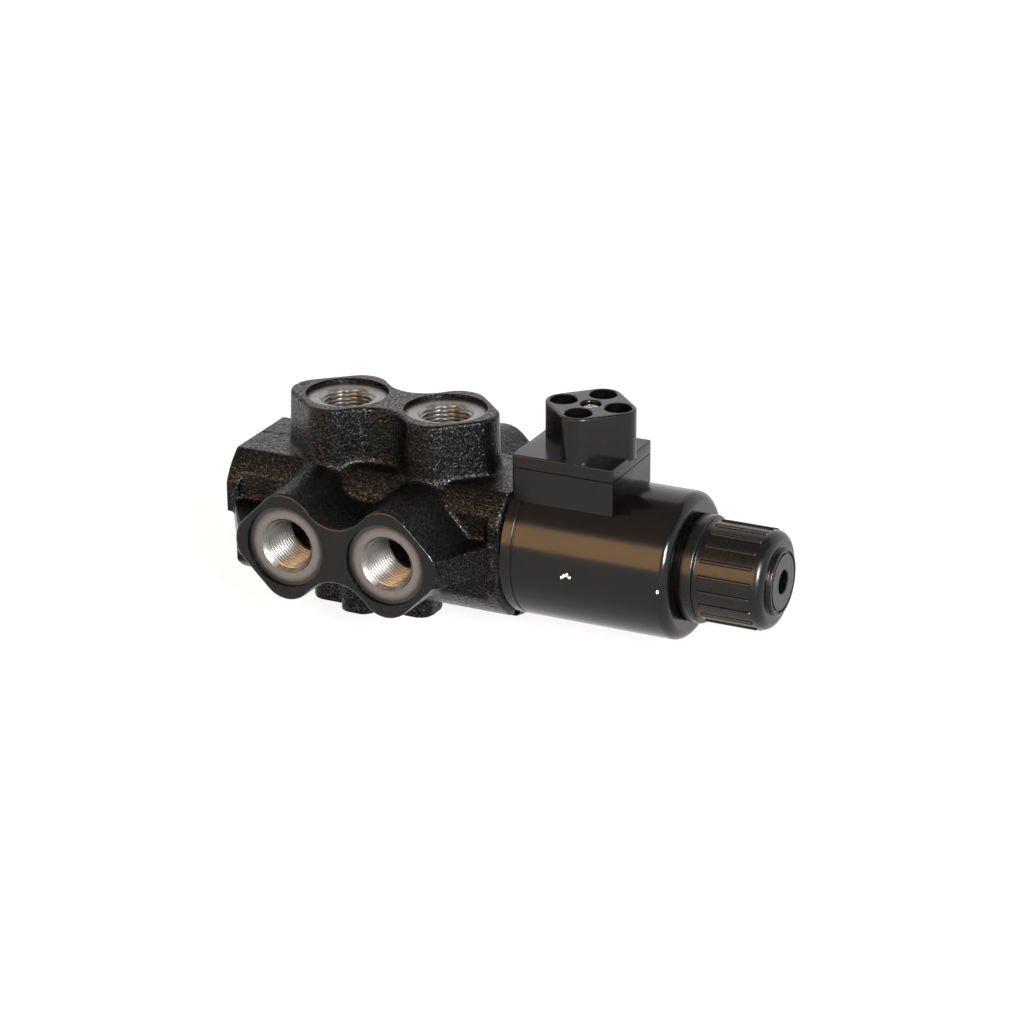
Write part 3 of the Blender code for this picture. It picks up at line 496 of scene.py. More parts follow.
def boss(face, root, left_extra, to_axis_frame):
    """A double boss, drafted and rounded at its face."""
    levels = [(root / 2, (face - root / 2) * math.tan(BOSS_DRAFT))]
    for turn in np.linspace(0, math.pi / 2, ARC_STEPS + 1):
        levels.append((face - BOSS_EDGE_R * (1 - math.sin(turn)), BOSS_EDGE_R * (math.cos(turn) - 1)))
    sections = []
    for height, grow in levels:
        sections.append([to_axis_frame @ Vector((u, v, height)) for u, v in diamond_pair(grow, left_extra)])
    return loft(sections)


def side_frame(facing):
    """Axes of a side face: across it, up, and out of it (facing is -1 at the front, +1 at the rear)."""
    out = Vector((0, facing, 0))
    up = Vector((0, 0, 1))
    turn = Matrix((up.cross(out), up, out)).transposed().to_4x4()
    return Matrix.Translation((0, 0, SIDE_PORT_RISE)) @ turn


# Port faces: axes, height of the face and of its root, drawn-out left end and shift of the passage
FACES = {
    "top": (Matrix.Identity(4), TOP_FACE, BARREL_TOP, TOP_BOSS_EXTRA, 0.0),
    "front": (side_frame(-1), SIDE_FACE, BARREL_SIDE, 0.0, -PASSAGE_SHIFT),
    "rear": (side_frame(1), SIDE_FACE, BARREL_SIDE, 0.0, PASSAGE_SHIFT),
}


def side_rib(end, facing):
    """A web at mid height from a side boss's end back to the end flange."""
    reach = (LOBE_FLAT - LOBE_CORNER_R) * math.sqrt(2) + LOBE_CORNER_R
    flange = BODY_RIGHT - PAST if end > 0 else -BODY_LEFT - PAST
    outline = [
        (end * HALF_PITCH, facing * SPOOL_BORE_R),
        (end * HALF_PITCH, facing * (SIDE_FACE - BOSS_EDGE_R)),
        (end * (HALF_PITCH + reach - BOSS_EDGE_R), facing * (SIDE_FACE - BOSS_EDGE_R)),
        (end * flange, facing * RIB_FLANGE_Y),
        (end * flange, facing * SPOOL_BORE_R),
    ]
    return prism(outline, SIDE_PORT_RISE / 2 - RIB_HALF, SIDE_PORT_RISE / 2 + RIB_HALF, "Z")


def casting_blank():
    """The overlapping closed solids that make up the rough casting."""
    left = BODY_LEFT - PAST
    right = BODY_RIGHT + PAST
    relief_end = BODY_LEFT + RELIEF_LENGTH
    parts = [
        prism(barrel_section(BARREL_SIDE, -BARREL_R), relief_end, right - FLANGE_WIDTH, "X"),
        prism(barrel_section(FLANGE_SIDE, -BARREL_R), BODY_RIGHT - FLANGE_WIDTH, right, "X"),
        prism(barrel_section(BARREL_SIDE, RELIEF_TOP), left, relief_end + PAST, "X"),
        prism(barrel_section(RELIEF_SIDE, -BARREL_R), left, relief_end + PAST, "X"),
        prism(barrel_section(FLANGE_SIDE, RELIEF_TOP), left, BODY_LEFT + FLANGE_WIDTH, "X"),
    ]
    for to_axis_frame, face, root, left_extra, _ in FACES.values():
        parts.append(boss(face, root, left_extra, to_axis_frame))
    for end in (-1, 1):
        for facing in (-1, 1):
            parts.append(side_rib(end, facing))
    for x, y in (LEFT_FOOT, RIGHT_FOOT):
        outline = []
        for start, (side_x, side_y) in ((0, (1, 1)), (90, (-1, 1)), (180, (-1, -1)), (270, (1, -1))):
            corner_x = x + side_x * (FOOT_LENGTH / 2 - FOOT_CORNER_R)
            corner_y = y + side_y * (FOOT_WIDTH / 2 - FOOT_CORNER_R)
            outline += arc((corner_x, corner_y), FOOT_CORNER_R, start, start + 90)
        parts.append(prism(outline, -AXIS_HEIGHT, FOOT_TOP, "Z"))
    web = []
    for (x, y), side in ((LEFT_FOOT, -1), (RIGHT_FOOT, -1), (RIGHT_FOOT, 1), (LEFT_FOOT, 1)):
        web.append((x, y + side * FOOT_WEB_HALF))
    parts.append(prism(web, -AXIS_HEIGHT, FOOT_TOP, "Z"))
    rail = [(LEFT_FOOT[0], -FOOT_RAIL_HALF), (LEFT_FOOT[0], FOOT_RAIL_HALF)]
    rail += arc((FOOT_RAIL_LEFT + FOOT_RAIL_HALF, 0), FOOT_RAIL_HALF, 90, 270)
    parts.append(prism(rail, -AXIS_HEIGHT, FOOT_TOP, "Z"))
    return parts


def joined(parts):
    """Several point and face lists as one."""
    points, faces = [], []
    for part_points, part_faces in parts:
        start = len(points)
        points += [tuple(point) for point in part_points]
        faces += [[corner + start for corner in face] for face in part_faces]
    return points, faces


def fill_corners(made, rounds):
    """Fillets: inner corners are drawn towards the mean of their neighbours, and outer ones are left."""
    mesh = made.data
    count = len(mesh.vertices)
    points = np.empty(count * 3)
    mesh.vertices.foreach_get("co", points)
    points = points.reshape(-1, 3)
    edges = np.empty(len(mesh.edges) * 2, dtype=np.int32)
    mesh.edges.foreach_get("vertices", edges)
    first, second = edges.reshape(-1, 2).T
    degree = np.bincount(edges, minlength=count)
    normals = np.empty(count * 3)
    for step in range(rounds):
        if step % FILLET_NORMALS_EVERY == 0:
            mesh.vertices.foreach_set("co", points.ravel())
            mesh.update()
            mesh.vertices.foreach_get("normal", normals)
            outwards = normals.reshape(-1, 3)
        total = np.empty_like(points)
        for axis in range(3):
            sums = np.bincount(first, points[second, axis], count)
            total[:, axis] = sums + np.bincount(second, points[first, axis], count)
        rise = np.sum((total / degree[:, None] - points) * outwards, axis=1)
        points = points + outwards * (0.5 * np.maximum(rise, 0))[:, None]
    mesh.vertices.foreach_set("co", points.ravel())
    mesh.update()


def roughen(made):
    """Sand-cast skin: slow waves and a short grain along the normals, weak on the machined faces."""
    mesh = made.data
    normals = [vertex.normal.copy() for vertex in mesh.vertices]
    for vertex, normal in zip(mesh.vertices, normals):
        spot = vertex.co / MM
        flat = abs(spot.y) > SIDE_FACE - MACHINED_MARGIN
        flat = flat or spot.z > TOP_FACE - MACHINED_MARGIN or spot.z < MACHINED_MARGIN - AXIS_HEIGHT
        wave = noise.noise(spot / SKIN_WAVE_LENGTH) * SKIN_WAVE
        grain = noise.noise(spot / SKIN_GRAIN_LENGTH) * SKIN_GRAIN
        offset = (wave + grain) * (MACHINED_SKIN if flat else 1.0)
        off_mark = abs(spot.y - GATE_MARK_Y) / GATE_MARK_HALF
        if off_mark < 1 and spot.x < -HALF_PITCH - LOBE_FLAT and spot.z > BARREL_TOP - GATE_MARK_DROP:
            height = noise.noise(spot / GATE_MARK_LENGTH) - GATE_MARK_SINK
            offset += GATE_MARK * (1 - off_mark) * height
        vertex.co += normal * offset * MM


def port_places():
    """Name, face and place of each port, with its X on the spool axis and its passage's shift."""
    for side, (to_axis_frame, face, _, _, shift) in FACES.items():
        for label, x in (("left", -HALF_PITCH), ("right", HALF_PITCH)):
            across = (to_axis_frame.inverted() @ Vector((x, 0, 0))).x
            floor = face - SPOT_FACE_DEPTH
            yield f"{side}_{label}_port", to_axis_frame @ Matrix.Translation((across, 0, floor)), x, shift


def rod(name, start, end, radius, steps=ROD_STEPS):
    """A closed cylinder between two points."""
    start, end = Vector(start), Vector(end)
    turn = (end - start).to_track_quat("Z", "Y").to_matrix().to_4x4()
    profile = [(0, 0), (0, radius), ((end - start).length, radius), ((end - start).length, 0)]
    return turned(name, profile, steps, False, Matrix.Translation(start) @ turn, "Z")


def casting():
    """The cast body: fused and smoothed blank with a rough skin, then its machining."""
    made = new_object("cast_body", *joined(casting_blank()))
    remesh = made.modifiers.new("fuse", "REMESH")
    remesh.mode = "VOXEL"
    remesh.voxel_size = CASTING_VOXEL * MM
    blur = made.modifiers.new("blur", "SMOOTH")
    blur.factor = 0.5
    blur.iterations = EDGE_SMOOTHING
    applied(made)
    fill_corners(made, FILLET_SMOOTHING)
    roughen(made)
    wide = 2 * BARREL_R
    cutters = [
        solid("left_end_cutter", block((BODY_LEFT - 3 * PAST, -wide, -wide), (BODY_LEFT, wide, wide))),
        solid("right_end_cutter", block((BODY_RIGHT, -wide, -wide), (BODY_RIGHT + 3 * PAST, wide, wide))),
    ]
    edge = arc((BODY_RIGHT - FLANGE_EDGE_R, BARREL_R - FLANGE_EDGE_R), FLANGE_EDGE_R, 90, 0, 6)
    edge += [(BODY_RIGHT + PAST, BARREL_R - FLANGE_EDGE_R), (BODY_RIGHT + PAST, BARREL_R + PAST)]
    edge += [(BODY_RIGHT - FLANGE_EDGE_R, BARREL_R + PAST)]
    cutters.append(turned("flange_edge_cutter", edge))
    passages = []
    pocket = [(PAST + SPOT_FACE_DEPTH, 0), (PAST + SPOT_FACE_DEPTH, SPOT_FACE_R), (-PORT_SKIN, SPOT_FACE_R)]
    pocket += [(-PORT_SKIN, PORT_SLEEVE_R), (-PORT_DEPTH, PORT_SLEEVE_R), (-PORT_DEPTH, 0)]
    for name, place, x, shift in port_places():
        cutters.append(turned(f"{name}_cutter", pocket, PORT_STEPS, False, place, "Z"))
        start = place @ Vector((0, 0, PASSAGE_OVERLAP - PORT_DEPTH))
        wall = (start - Vector((x, 0, 0))).normalized() * SPOOL_BORE_R
        target = Vector((x + shift, wall.y, wall.z))
        inside = target + (target - start).normalized() * (SPOOL_BORE_R / 2)
        passages.append(rod(f"{name}_passage", start, inside, PASSAGE_R))
    bore = [(BODY_RIGHT + PAST, 0), (BODY_RIGHT + PAST, CORE_BORE_R), (CORE_BORE_END, CORE_BORE_R)]
    bore += [(CORE_BORE_END, SPOOL_BORE_R), (PLUG_BORE_END, SPOOL_BORE_R), (PLUG_BORE_END, PLUG_BORE_R)]
    bore += [(BODY_LEFT - PAST, PLUG_BORE_R), (BODY_LEFT - PAST, 0)]
    cutters.append(turned("spool_bore_cutter", bore, BORE_STEPS, False))
    for x, y in (LEFT_FOOT, RIGHT_FOOT):
        top = FOOT_HOLE_DEPTH - AXIS_HEIGHT
        cutters.append(rod("foot_hole_cutter", (x, y, -AXIS_HEIGHT - PAST), (x, y, top), FOOT_HOLE_R))
    low = (BODY_RIGHT - NOTCH_REACH, -NOTCH_WIDTH / 2, -BARREL_R - PAST)
    high = (BODY_RIGHT + PAST, NOTCH_WIDTH / 2, NOTCH_DEPTH - BARREL_R)
    cutters.append(solid("notch_cutter", block(low, high), Matrix.Rotation(-NOTCH_ANGLE, 4, "X")))
    combine(made, cutters + passages, "DIFFERENCE")
    smooth(made, 40)
    return made


def port_sleeve(name, place):
    """The machined inside of a port: ring face, chamfered mouth and a cut thread with a plain end."""
    edge = SPOT_FACE_R - SLEEVE_PLAY
    outer_r = PORT_SLEEVE_R - SLEEVE_PLAY
    ring_back = SLEEVE_PLAY - PORT_SKIN
    bottom = SLEEVE_PLAY - PORT_DEPTH
    turn = np.linspace(0, 2 * math.pi, PORT_STEPS, endpoint=False)
    rows = [(ring_back, edge), (-RING_EDGE, edge), (0, edge - RING_EDGE)]
    rows += [(0, radius) for radius in (*RING_ROWS, PORT_MOUTH_R + MOUTH_EDGE)]
    count = int(THREAD_LENGTH / THREAD_PITCH * THREAD_ROWS_A_TURN)
    thread_start = len(rows)
    rows += [(-THREAD_LENGTH * step / count, THREAD_MINOR_R) for step in range(count + 1)]
    thread_end = len(rows)
    rows += [(-THREAD_LENGTH - THREAD_RUNOUT, THREAD_MINOR_R), (bottom, THREAD_MINOR_R)]
    rows += [(bottom, outer_r), (ring_back, outer_r)]
    points = []
    for index, (height, base_r) in enumerate(rows):
        radius = np.full(PORT_STEPS, base_r)
        if thread_start <= index < thread_end:
            phase = 2 * math.pi * height / THREAD_PITCH + turn
            depth = 0.5 - 0.5 * np.cos(phase)
            fade = min(1.0, (height + THREAD_LENGTH) / THREAD_PITCH)
            radius = radius + (THREAD_MAJOR_R - THREAD_MINOR_R) * depth * fade
            radius = np.maximum(radius, PORT_MOUTH_R + height)
        spots = (radius * np.cos(turn), radius * np.sin(turn), np.full(PORT_STEPS, height))
        points.append(np.stack(spots, axis=-1))
    made = new_object(name, np.concatenate(points), grid_faces(len(rows), PORT_STEPS, True), place)
    smooth(made, 40)
    return made


# End plug, coil, tower and nut


def end_plug():
    """The screwed end plug with its chamfer, seal groove and hexagon socket."""
    profile = [(PLUG_LEFT, 0), (PLUG_LEFT, PLUG_R - PLUG_CHAMFER), (PLUG_LEFT + PLUG_CHAMFER, PLUG_R)]
    for side, radius in ((-1, PLUG_R), (-1, PLUG_GROOVE_R), (1, PLUG_GROOVE_R), (1, PLUG_R)):
        profile.append((PLUG_GROOVE_X + side * PLUG_GROOVE_HALF, radius))
    profile += [(PLUG_RIGHT, PLUG_R), (PLUG_RIGHT, 0)]
    made = turned("end_plug_turned", profile, BORE_STEPS, False)
    corner = HEX_FLATS / math.sqrt(3)
    hexagon = arc((0, 0), corner, 0, 300, 5)
    socket = prism(hexagon, PLUG_LEFT - PAST, PLUG_LEFT + HEX_DEPTH, "X")
    combine(made, [solid("hex_cutter", socket)], "DIFFERENCE")
    soften(made, PLUG_EDGE, 2, 50)
    smooth(made)
    return made


def coil_can():
    """The painted can: seam ring near its left end, rounded right end and an open recess."""
    seam_left = COIL_LEFT + COIL_SEAM_OFFSET
    seam_right = seam_left + COIL_SEAM_WIDTH
    seam_r = COIL_R - COIL_SEAM_DEPTH
    lip_r = COIL_R - COIL_SEAM_LIP
    slope = COIL_SEAM_SLOPE
    profile = [(COIL_LEFT, COIL_BORE_R)]
    profile += arc((COIL_LEFT + COIL_EDGE, COIL_R - COIL_EDGE), COIL_EDGE, 180, 90, 5)
    profile += [(seam_left - slope, COIL_R), (seam_left, lip_r), (seam_left + slope, seam_r)]
    profile += [(seam_right - slope, seam_r), (seam_right, lip_r), (seam_right + slope, COIL_R)]
    profile += arc((COIL_RIGHT - COIL_FILLET, COIL_R - COIL_FILLET), COIL_FILLET, 90, 0)
    profile += arc((COIL_RIGHT - COIL_LIP, COIL_MOUTH_R + COIL_LIP), COIL_LIP, 0, -90, 5)
    profile += [(COIL_RIGHT - COIL_RIM, COIL_MOUTH_R), (COIL_RIGHT - COIL_RIM, COIL_CAVITY_R)]
    profile += [(COIL_FLOOR, COIL_CAVITY_R), (COIL_FLOOR, COIL_BORE_R)]
    made = turned("coil_can_painted", supported(profile), COIL_STEPS)
    smooth(made, 40)
    return made


def tower_outline(grow=0.0):
    """The rectangle of the tower and its plate, with rounded corners."""
    middle = (TOWER_LEFT + TOWER_RIGHT) / 2
    out_x = (TOWER_RIGHT - TOWER_LEFT) / 2 - TOWER_EDGE
    out_y = TOWER_HALF_WIDTH - TOWER_EDGE
    outline = []
    for start, (side_x, side_y) in ((0, (1, 1)), (90, (-1, 1)), (180, (-1, -1)), (270, (1, -1))):
        outline += arc((middle + side_x * out_x, side_y * out_y), TOWER_EDGE + grow, start, start + 90, 6)
    return outline


def tower():
    """The saddle block on the coil, with the gasket's pocket in its top."""
    made = solid("tower_block", prism(tower_outline(), 0, TOWER_BLOCK_TOP, "Z"))
    ends = ((TOWER_LEFT - PAST, 0, 0), (TOWER_RIGHT + PAST, 0, 0))
    saddle = rod("saddle_cutter", *ends, COIL_R + SADDLE_GAP, COIL_STEPS)
    inset = GASKET_POCKET_INSET
    low = (TOWER_LEFT + inset, inset - TOWER_HALF_WIDTH, GASKET_POCKET_FLOOR)
    high = (TOWER_RIGHT - inset, TOWER_HALF_WIDTH - inset, TOWER_BLOCK_TOP + PAST)
    combine(made, [saddle, solid("gasket_pocket_cutter", block(low, high))], "DIFFERENCE")
    smooth(made)
    return made


def rounded_square(half, corner_r):
    """A square stood on one corner, with its rounded corners along X and Y."""
    reach = (half - corner_r) * math.sqrt(2)
    outline = []
    for quarter in range(4):
        turn = math.radians(90 * quarter)
        centre = (PLUG_BASE_X + reach * math.cos(turn), reach * math.sin(turn))
        outline += arc(centre, corner_r, 90 * quarter - 45, 90 * quarter + 45)
    return outline


def connector_base():
    """The plate and the square plug block on it, with four wells and the screw hole."""
    levels = [(PLATE_BOTTOM, 0.0)]
    for turn in np.linspace(0, math.pi / 2, 5):
        levels.append((PLATE_TOP - PLATE_EDGE * (1 - math.sin(turn)), PLATE_EDGE * (math.cos(turn) - 1)))
    plate = [[(u, v, height) for u, v in tower_outline(grow)] for height, grow in levels]
    made = solid("plug_base", loft(plate))
    sections = []
    for height, grow in ((PLATE_TOP - PAST, 0.0), (PLUG_BASE_TOP - PLUG_BASE_EDGE, 0.0)):
        outline = rounded_square(PLUG_BASE_HALF + grow, PLUG_BASE_CORNER_R + grow)
        sections.append([(u, v, height) for u, v in outline])
    for turn in np.linspace(0, math.pi / 2, 6)[1:]:
        grow = PLUG_BASE_EDGE * (math.cos(turn) - 1)
        height = PLUG_BASE_TOP - PLUG_BASE_EDGE * (1 - math.sin(turn))
        outline = rounded_square(PLUG_BASE_HALF + grow, PLUG_BASE_CORNER_R + grow)
        sections.append([(u, v, height) for u, v in outline])
    combine(made, [solid("plug_block", loft(sections))], "UNION")
    holes = [(PLUG_BASE_X, 0.0, SCREW_HOLE_R, SCREW_HOLE_DEPTH)]
    holes.append((PLUG_BASE_X, 0.0, SCREW_SHANK_R + SCREW_SHANK_PLAY, SCREW_HOLE_DEPTH + SCREW_SHANK_LENGTH))
    for x, y in ((1, 0), (0, 1), (-1, 0), (0, -1)):
        holes.append((PLUG_BASE_X + x * WELL_CIRCLE_R, y * WELL_CIRCLE_R, WELL_R, WELL_DEPTH))
    cutters = []
    for x, y, radius, depth in holes:
        profile = [(-depth, 0), (-depth, radius), (-WELL_CHAMFER, radius)]
        profile += [(PAST, radius + WELL_CHAMFER + PAST), (PAST, 0)]
        place = Matrix.Translation((x, y, PLUG_BASE_TOP))
        cutters.append(turned("well_cutter", profile, WELL_STEPS, False, place, "Z"))
    combine(made, cutters, "DIFFERENCE")
    smooth(made)
    return made


def connector_screw():
    """The slotted screw in the middle of the plug base, with its head near the mouth of its hole."""
    seat = PLUG_BASE_TOP - SCREW_HOLE_DEPTH + SEAT_GAP
    top = PLUG_BASE_TOP - SCREW_HEAD_DROP
    end = seat - SCREW_SHANK_LENGTH
    edge = SCREW_HEAD_EDGE
    profile = [(end, 0), (end, SCREW_SHANK_R), (seat, SCREW_SHANK_R), (seat, SCREW_HEAD_R)]
    profile += arc((top - edge, SCREW_HEAD_R - edge), edge, 90, 0, 6)
    profile += [(top, 0)]
    place = Matrix.Translation((PLUG_BASE_X, 0, 0))
    made = turned("connector_screw_turned", profile, WELL_STEPS, False, place, "Z")
    low = (PLUG_BASE_X - SCREW_HOLE_R, -SCREW_SLOT / 2, top - SCREW_SLOT_DEPTH)
    high = (PLUG_BASE_X + SCREW_HOLE_R, SCREW_SLOT / 2, top + PAST)
    combine(made, [solid("screw_slot_cutter", block(low, high))], "DIFFERENCE")
    smooth(made)
    return made


def ring_nut():
    """The knurled nut: spigot, skirt, ribbed grip, round shoulder and a raised end face with a groove."""
    groove_in = NUT_GROOVE_R - NUT_GROOVE_WIDTH / 2
    groove_out = NUT_GROOVE_R + NUT_GROOVE_WIDTH / 2
    groove_floor = NUT_RIGHT - NUT_GROOVE_DEPTH
    rows = [(NUT_LEFT, NUT_THREAD_R), (NUT_LEFT, NUT_SPIGOT_R - NUT_SPIGOT_EDGE)]
    rows += [(NUT_LEFT + NUT_SPIGOT_EDGE, NUT_SPIGOT_R), (NUT_SKIRT_LEFT, NUT_SPIGOT_R)]
    edge = NUT_SKIRT_LEFT_R
    rows += arc((NUT_SKIRT_LEFT + edge, NUT_SKIRT_R - edge), edge, 180, 90, 5)
    edge = NUT_SKIRT_RIGHT_R
    rows += arc((NUT_GRIP_LEFT - edge, NUT_SKIRT_R - edge), edge, 90, 0, 6)
    root = NUT_GRIP_ROOT_R
    rows += arc((NUT_GRIP_LEFT + root, NUT_R + root), root, 180, 270, 4)
    grip_start = len(rows)
    rib_left = NUT_GRIP_LEFT + NUT_RIB_START
    for step in range(NUT_RIB_ROWS + 1):
        travel = (NUT_RIB_LENGTH + 2 * NUT_RIB_MARGIN) * step / NUT_RIB_ROWS
        rows.append((rib_left - NUT_RIB_MARGIN + travel, NUT_R))
    grip_end = len(rows)
    shoulder = NUT_SHOULDER_R
    rows += arc((NUT_GRIP_RIGHT - shoulder, NUT_R - shoulder), shoulder, 90, 0)
    root = NUT_BOSS_ROOT_R
    rows += arc((NUT_GRIP_RIGHT + root, NUT_BOSS_R + root), root, 180, 270, 4)
    edge = NUT_END_EDGE_R
    rows += arc((NUT_RIGHT - edge, NUT_BOSS_R - edge), edge, 90, 0, 5)
    slope = NUT_GROOVE_SLOPE
    rows += [(NUT_RIGHT, groove_out), (groove_floor, groove_out - slope), (groove_floor, groove_in + slope)]
    rows += [(NUT_RIGHT, groove_in), (NUT_RIGHT, NUT_HOLE_R + NUT_HOLE_EDGE)]
    rows += [(NUT_RIGHT - NUT_HOLE_EDGE, NUT_HOLE_R)]
    rows += [(NUT_WALL_LEFT, NUT_HOLE_R), (NUT_WALL_LEFT, NUT_THREAD_R)]
    turn = np.linspace(0, 2 * math.pi, NUT_STEPS, endpoint=False)
    pitch = 2 * math.pi / NUT_RIBS
    off_rib = (turn - NUT_RIB_TURN + pitch / 2) % pitch - pitch / 2
    half = NUT_RIB_WIDTH / 2
    points = []
    for index, (x, base_r) in enumerate(rows):
        radius = np.full(NUT_STEPS, base_r)
        if grip_start <= index < grip_end:
            past_end = max(rib_left + half - x, x - (rib_left + NUT_RIB_LENGTH - half), 0.0)
            reach = np.sqrt((off_rib * NUT_R) ** 2 + past_end ** 2) / half
            radius = radius + NUT_RIB_HEIGHT * np.sqrt(np.clip(1 - reach ** 3, 0, 1))
        ring = (np.full(NUT_STEPS, x), -radius * np.sin(turn), radius * np.cos(turn))
        points.append(np.stack(ring, axis=-1))
    made = new_object("ring_nut_moulded", np.concatenate(points), grid_faces(len(rows), NUT_STEPS, True))
    smooth(made, 40)
    return made


# Finishes


def new_material(name):
    """An empty Principled material and its node tree."""
    made = bpy.data.materials.new(name)
    made.use_nodes = True
    return made, made.node_tree, made.node_tree.nodes["Principled BSDF"]


def node(tree, kind, inputs=None, **settings):
    """A node with its settings, and its inputs set to values or linked from sockets."""
    made = tree.nodes.new(kind)
    for key, value in settings.items():
        setattr(made, key, value)
    for key, value in (inputs or {}).items():
        if isinstance(value, bpy.types.NodeSocket):
            tree.links.new(value, made.inputs[key])
        else:
            made.inputs[key].default_value = value
    return made


def coordinates(tree):
    """Place in the object's own frame."""
    return node(tree, "ShaderNodeTexCoord").outputs["Object"]


def calculate(tree, operation, *values):
    """One step of arithmetic on sockets and numbers."""
    return node(tree, "ShaderNodeMath", dict(enumerate(values)), operation=operation).outputs[0]


def noise_of(tree, length, detail=3.0, roughness=0.55, vector=None):
    """Noise whose features are about length millimetres across."""
    inputs = {"Vector": vector or coordinates(tree), "Scale": 1 / (length * MM), "Detail": detail}
    inputs["Roughness"] = roughness
    return node(tree, "ShaderNodeTexNoise", inputs).outputs["Fac"]


def remap(tree, value, low, high, from_low=0.3, from_high=0.7):
    """A value carried from one range to another, by default from the middle of a noise's range."""
    inputs = {"Value": value, "From Min": from_low, "From Max": from_high, "To Min": low, "To Max": high}
    return node(tree, "ShaderNodeMapRange", inputs).outputs["Result"]


def blend_colour(tree, value, first, second):
    """A mix of two colours or colour sockets."""
    made = node(tree, "ShaderNodeMix", data_type="RGBA")
    tree.links.new(value, made.inputs["Factor"])
    for socket, colour in zip((made.inputs[6], made.inputs[7]), (first, second)):
        if isinstance(colour, bpy.types.NodeSocket):
            tree.links.new(colour, socket)
        else:
            socket.default_value = (*colour, 1.0)
    return made.outputs[2]


def bump(tree, height, depth, strength=1.0, under=None):
    """A bump of a height map whose full range is depth millimetres."""
    inputs = {"Height": height, "Distance": depth * MM, "Strength": strength}
    if under is not None:
        inputs["Normal"] = under
    return node(tree, "ShaderNodeBump", inputs).outputs["Normal"]


def speckled(name, first, second, roughness, grain, depth, metallic):
    """A finish that varies between two colours and two roughnesses, with a bump of one grain size."""
    made, tree, shader = new_material(name)
    patches = remap(tree, noise_of(tree, grain * 6, 4), 0, 1)
    tree.links.new(blend_colour(tree, patches, first, second), shader.inputs["Base Color"])
    fine = noise_of(tree, grain)
    tree.links.new(remap(tree, fine, *roughness), shader.inputs["Roughness"])
    tree.links.new(bump(tree, fine, depth), shader.inputs["Normal"])
    shader.inputs["Metallic"].default_value = metallic
    return made


def casting_finish():
    """Black lacquer on a sand-cast skin: pebbled, with smoother machined faces."""
    made, tree, shader = new_material("black_lacquered_casting")
    patches = remap(tree, noise_of(tree, 9.0, 4), 0, 1)
    tree.links.new(blend_colour(tree, patches, *CASTING_BLACK), shader.inputs["Base Color"])
    tree.links.new(remap(tree, noise_of(tree, 5.0), *CASTING_ROUGHNESS), shader.inputs["Roughness"])
    place = coordinates(tree)
    sideways = node(tree, "ShaderNodeSeparateXYZ", {0: place}).outputs["Y"]
    distance = calculate(tree, "ABSOLUTE", sideways)
    fade = [(SIDE_FACE - margin) * MM for margin in MACHINED_FADE]
    rough = remap(tree, distance, 1.0, MACHINED_BUMP, *fade)
    specks = remap(tree, noise_of(tree, SPECK_LENGTH, 2.0, vector=place), *CASTING_SPECKS, *SPECK_RANGE)
    inputs = {0: rough, 2: BLACK_SHEEN, 3: specks}
    tree.links.new(node(tree, "ShaderNodeMix", inputs).outputs[0], shader.inputs["Specular IOR Level"])
    pebble = bump(tree, noise_of(tree, PEBBLE_LENGTH, 3.0, vector=place), PEBBLE_DEPTH, rough)
    grain = bump(tree, noise_of(tree, GRAIN_LENGTH, 2.0, vector=place), GRAIN_DEPTH, rough, pebble)
    tree.links.new(grain, shader.inputs["Normal"])
    return made


def coil_finish():
    """Smooth black paint with faint orange peel and a few chips down to the steel."""
    made, tree, shader = new_material("black_painted_can")
    place = coordinates(tree)
    wobble = noise_of(tree, 0.7, 2.0, vector=place)
    nearest = None
    for chip in CHIPS:
        offset = [value * MM for value in chip]
        inputs = {0: place, 1: offset}
        reach = node(tree, "ShaderNodeVectorMath", inputs, operation="DISTANCE").outputs["Value"]
        if nearest is None:
            nearest = reach
        else:
            nearest = calculate(tree, "MINIMUM", nearest, reach)
    ragged = calculate(tree, "MULTIPLY_ADD", wobble, CHIP_RAGGED * MM, nearest)
    chip = remap(tree, ragged, 1.0, 0.0, CHIP_REACH[0] * MM, CHIP_REACH[1] * MM)
    patches = remap(tree, noise_of(tree, 14.0, 4), 0, 1)
    paint = blend_colour(tree, patches, *PAINT_BLACK)
    tree.links.new(blend_colour(tree, chip, paint, CHIP_STEEL), shader.inputs["Base Color"])
    shader.inputs["Specular IOR Level"].default_value = BLACK_SHEEN
    tree.links.new(remap(tree, noise_of(tree, 6.0, 4), *PAINT_ROUGHNESS), shader.inputs["Roughness"])
    peel = bump(tree, noise_of(tree, PEEL_LENGTH, 2.0), PEEL_DEPTH)
    hollow = bump(tree, chip, -CHIP_DEPTH, 1.0, peel)
    tree.links.new(hollow, shader.inputs["Normal"])
    return made


def plastic_finish(name, roughness):
    """Black moulded plastic with a fine eroded grain."""
    made, tree, shader = new_material(name)
    patches = remap(tree, noise_of(tree, 7.0, 4), 0, 1)
    tree.links.new(blend_colour(tree, patches, *PLASTIC_BLACK), shader.inputs["Base Color"])
    shader.inputs["Specular IOR Level"].default_value = BLACK_SHEEN
    tree.links.new(remap(tree, noise_of(tree, 2.5), *roughness), shader.inputs["Roughness"])
    tree.links.new(bump(tree, noise_of(tree, PLASTIC_GRAIN, 2.0), PLASTIC_DEPTH), shader.inputs["Normal"])
    return made


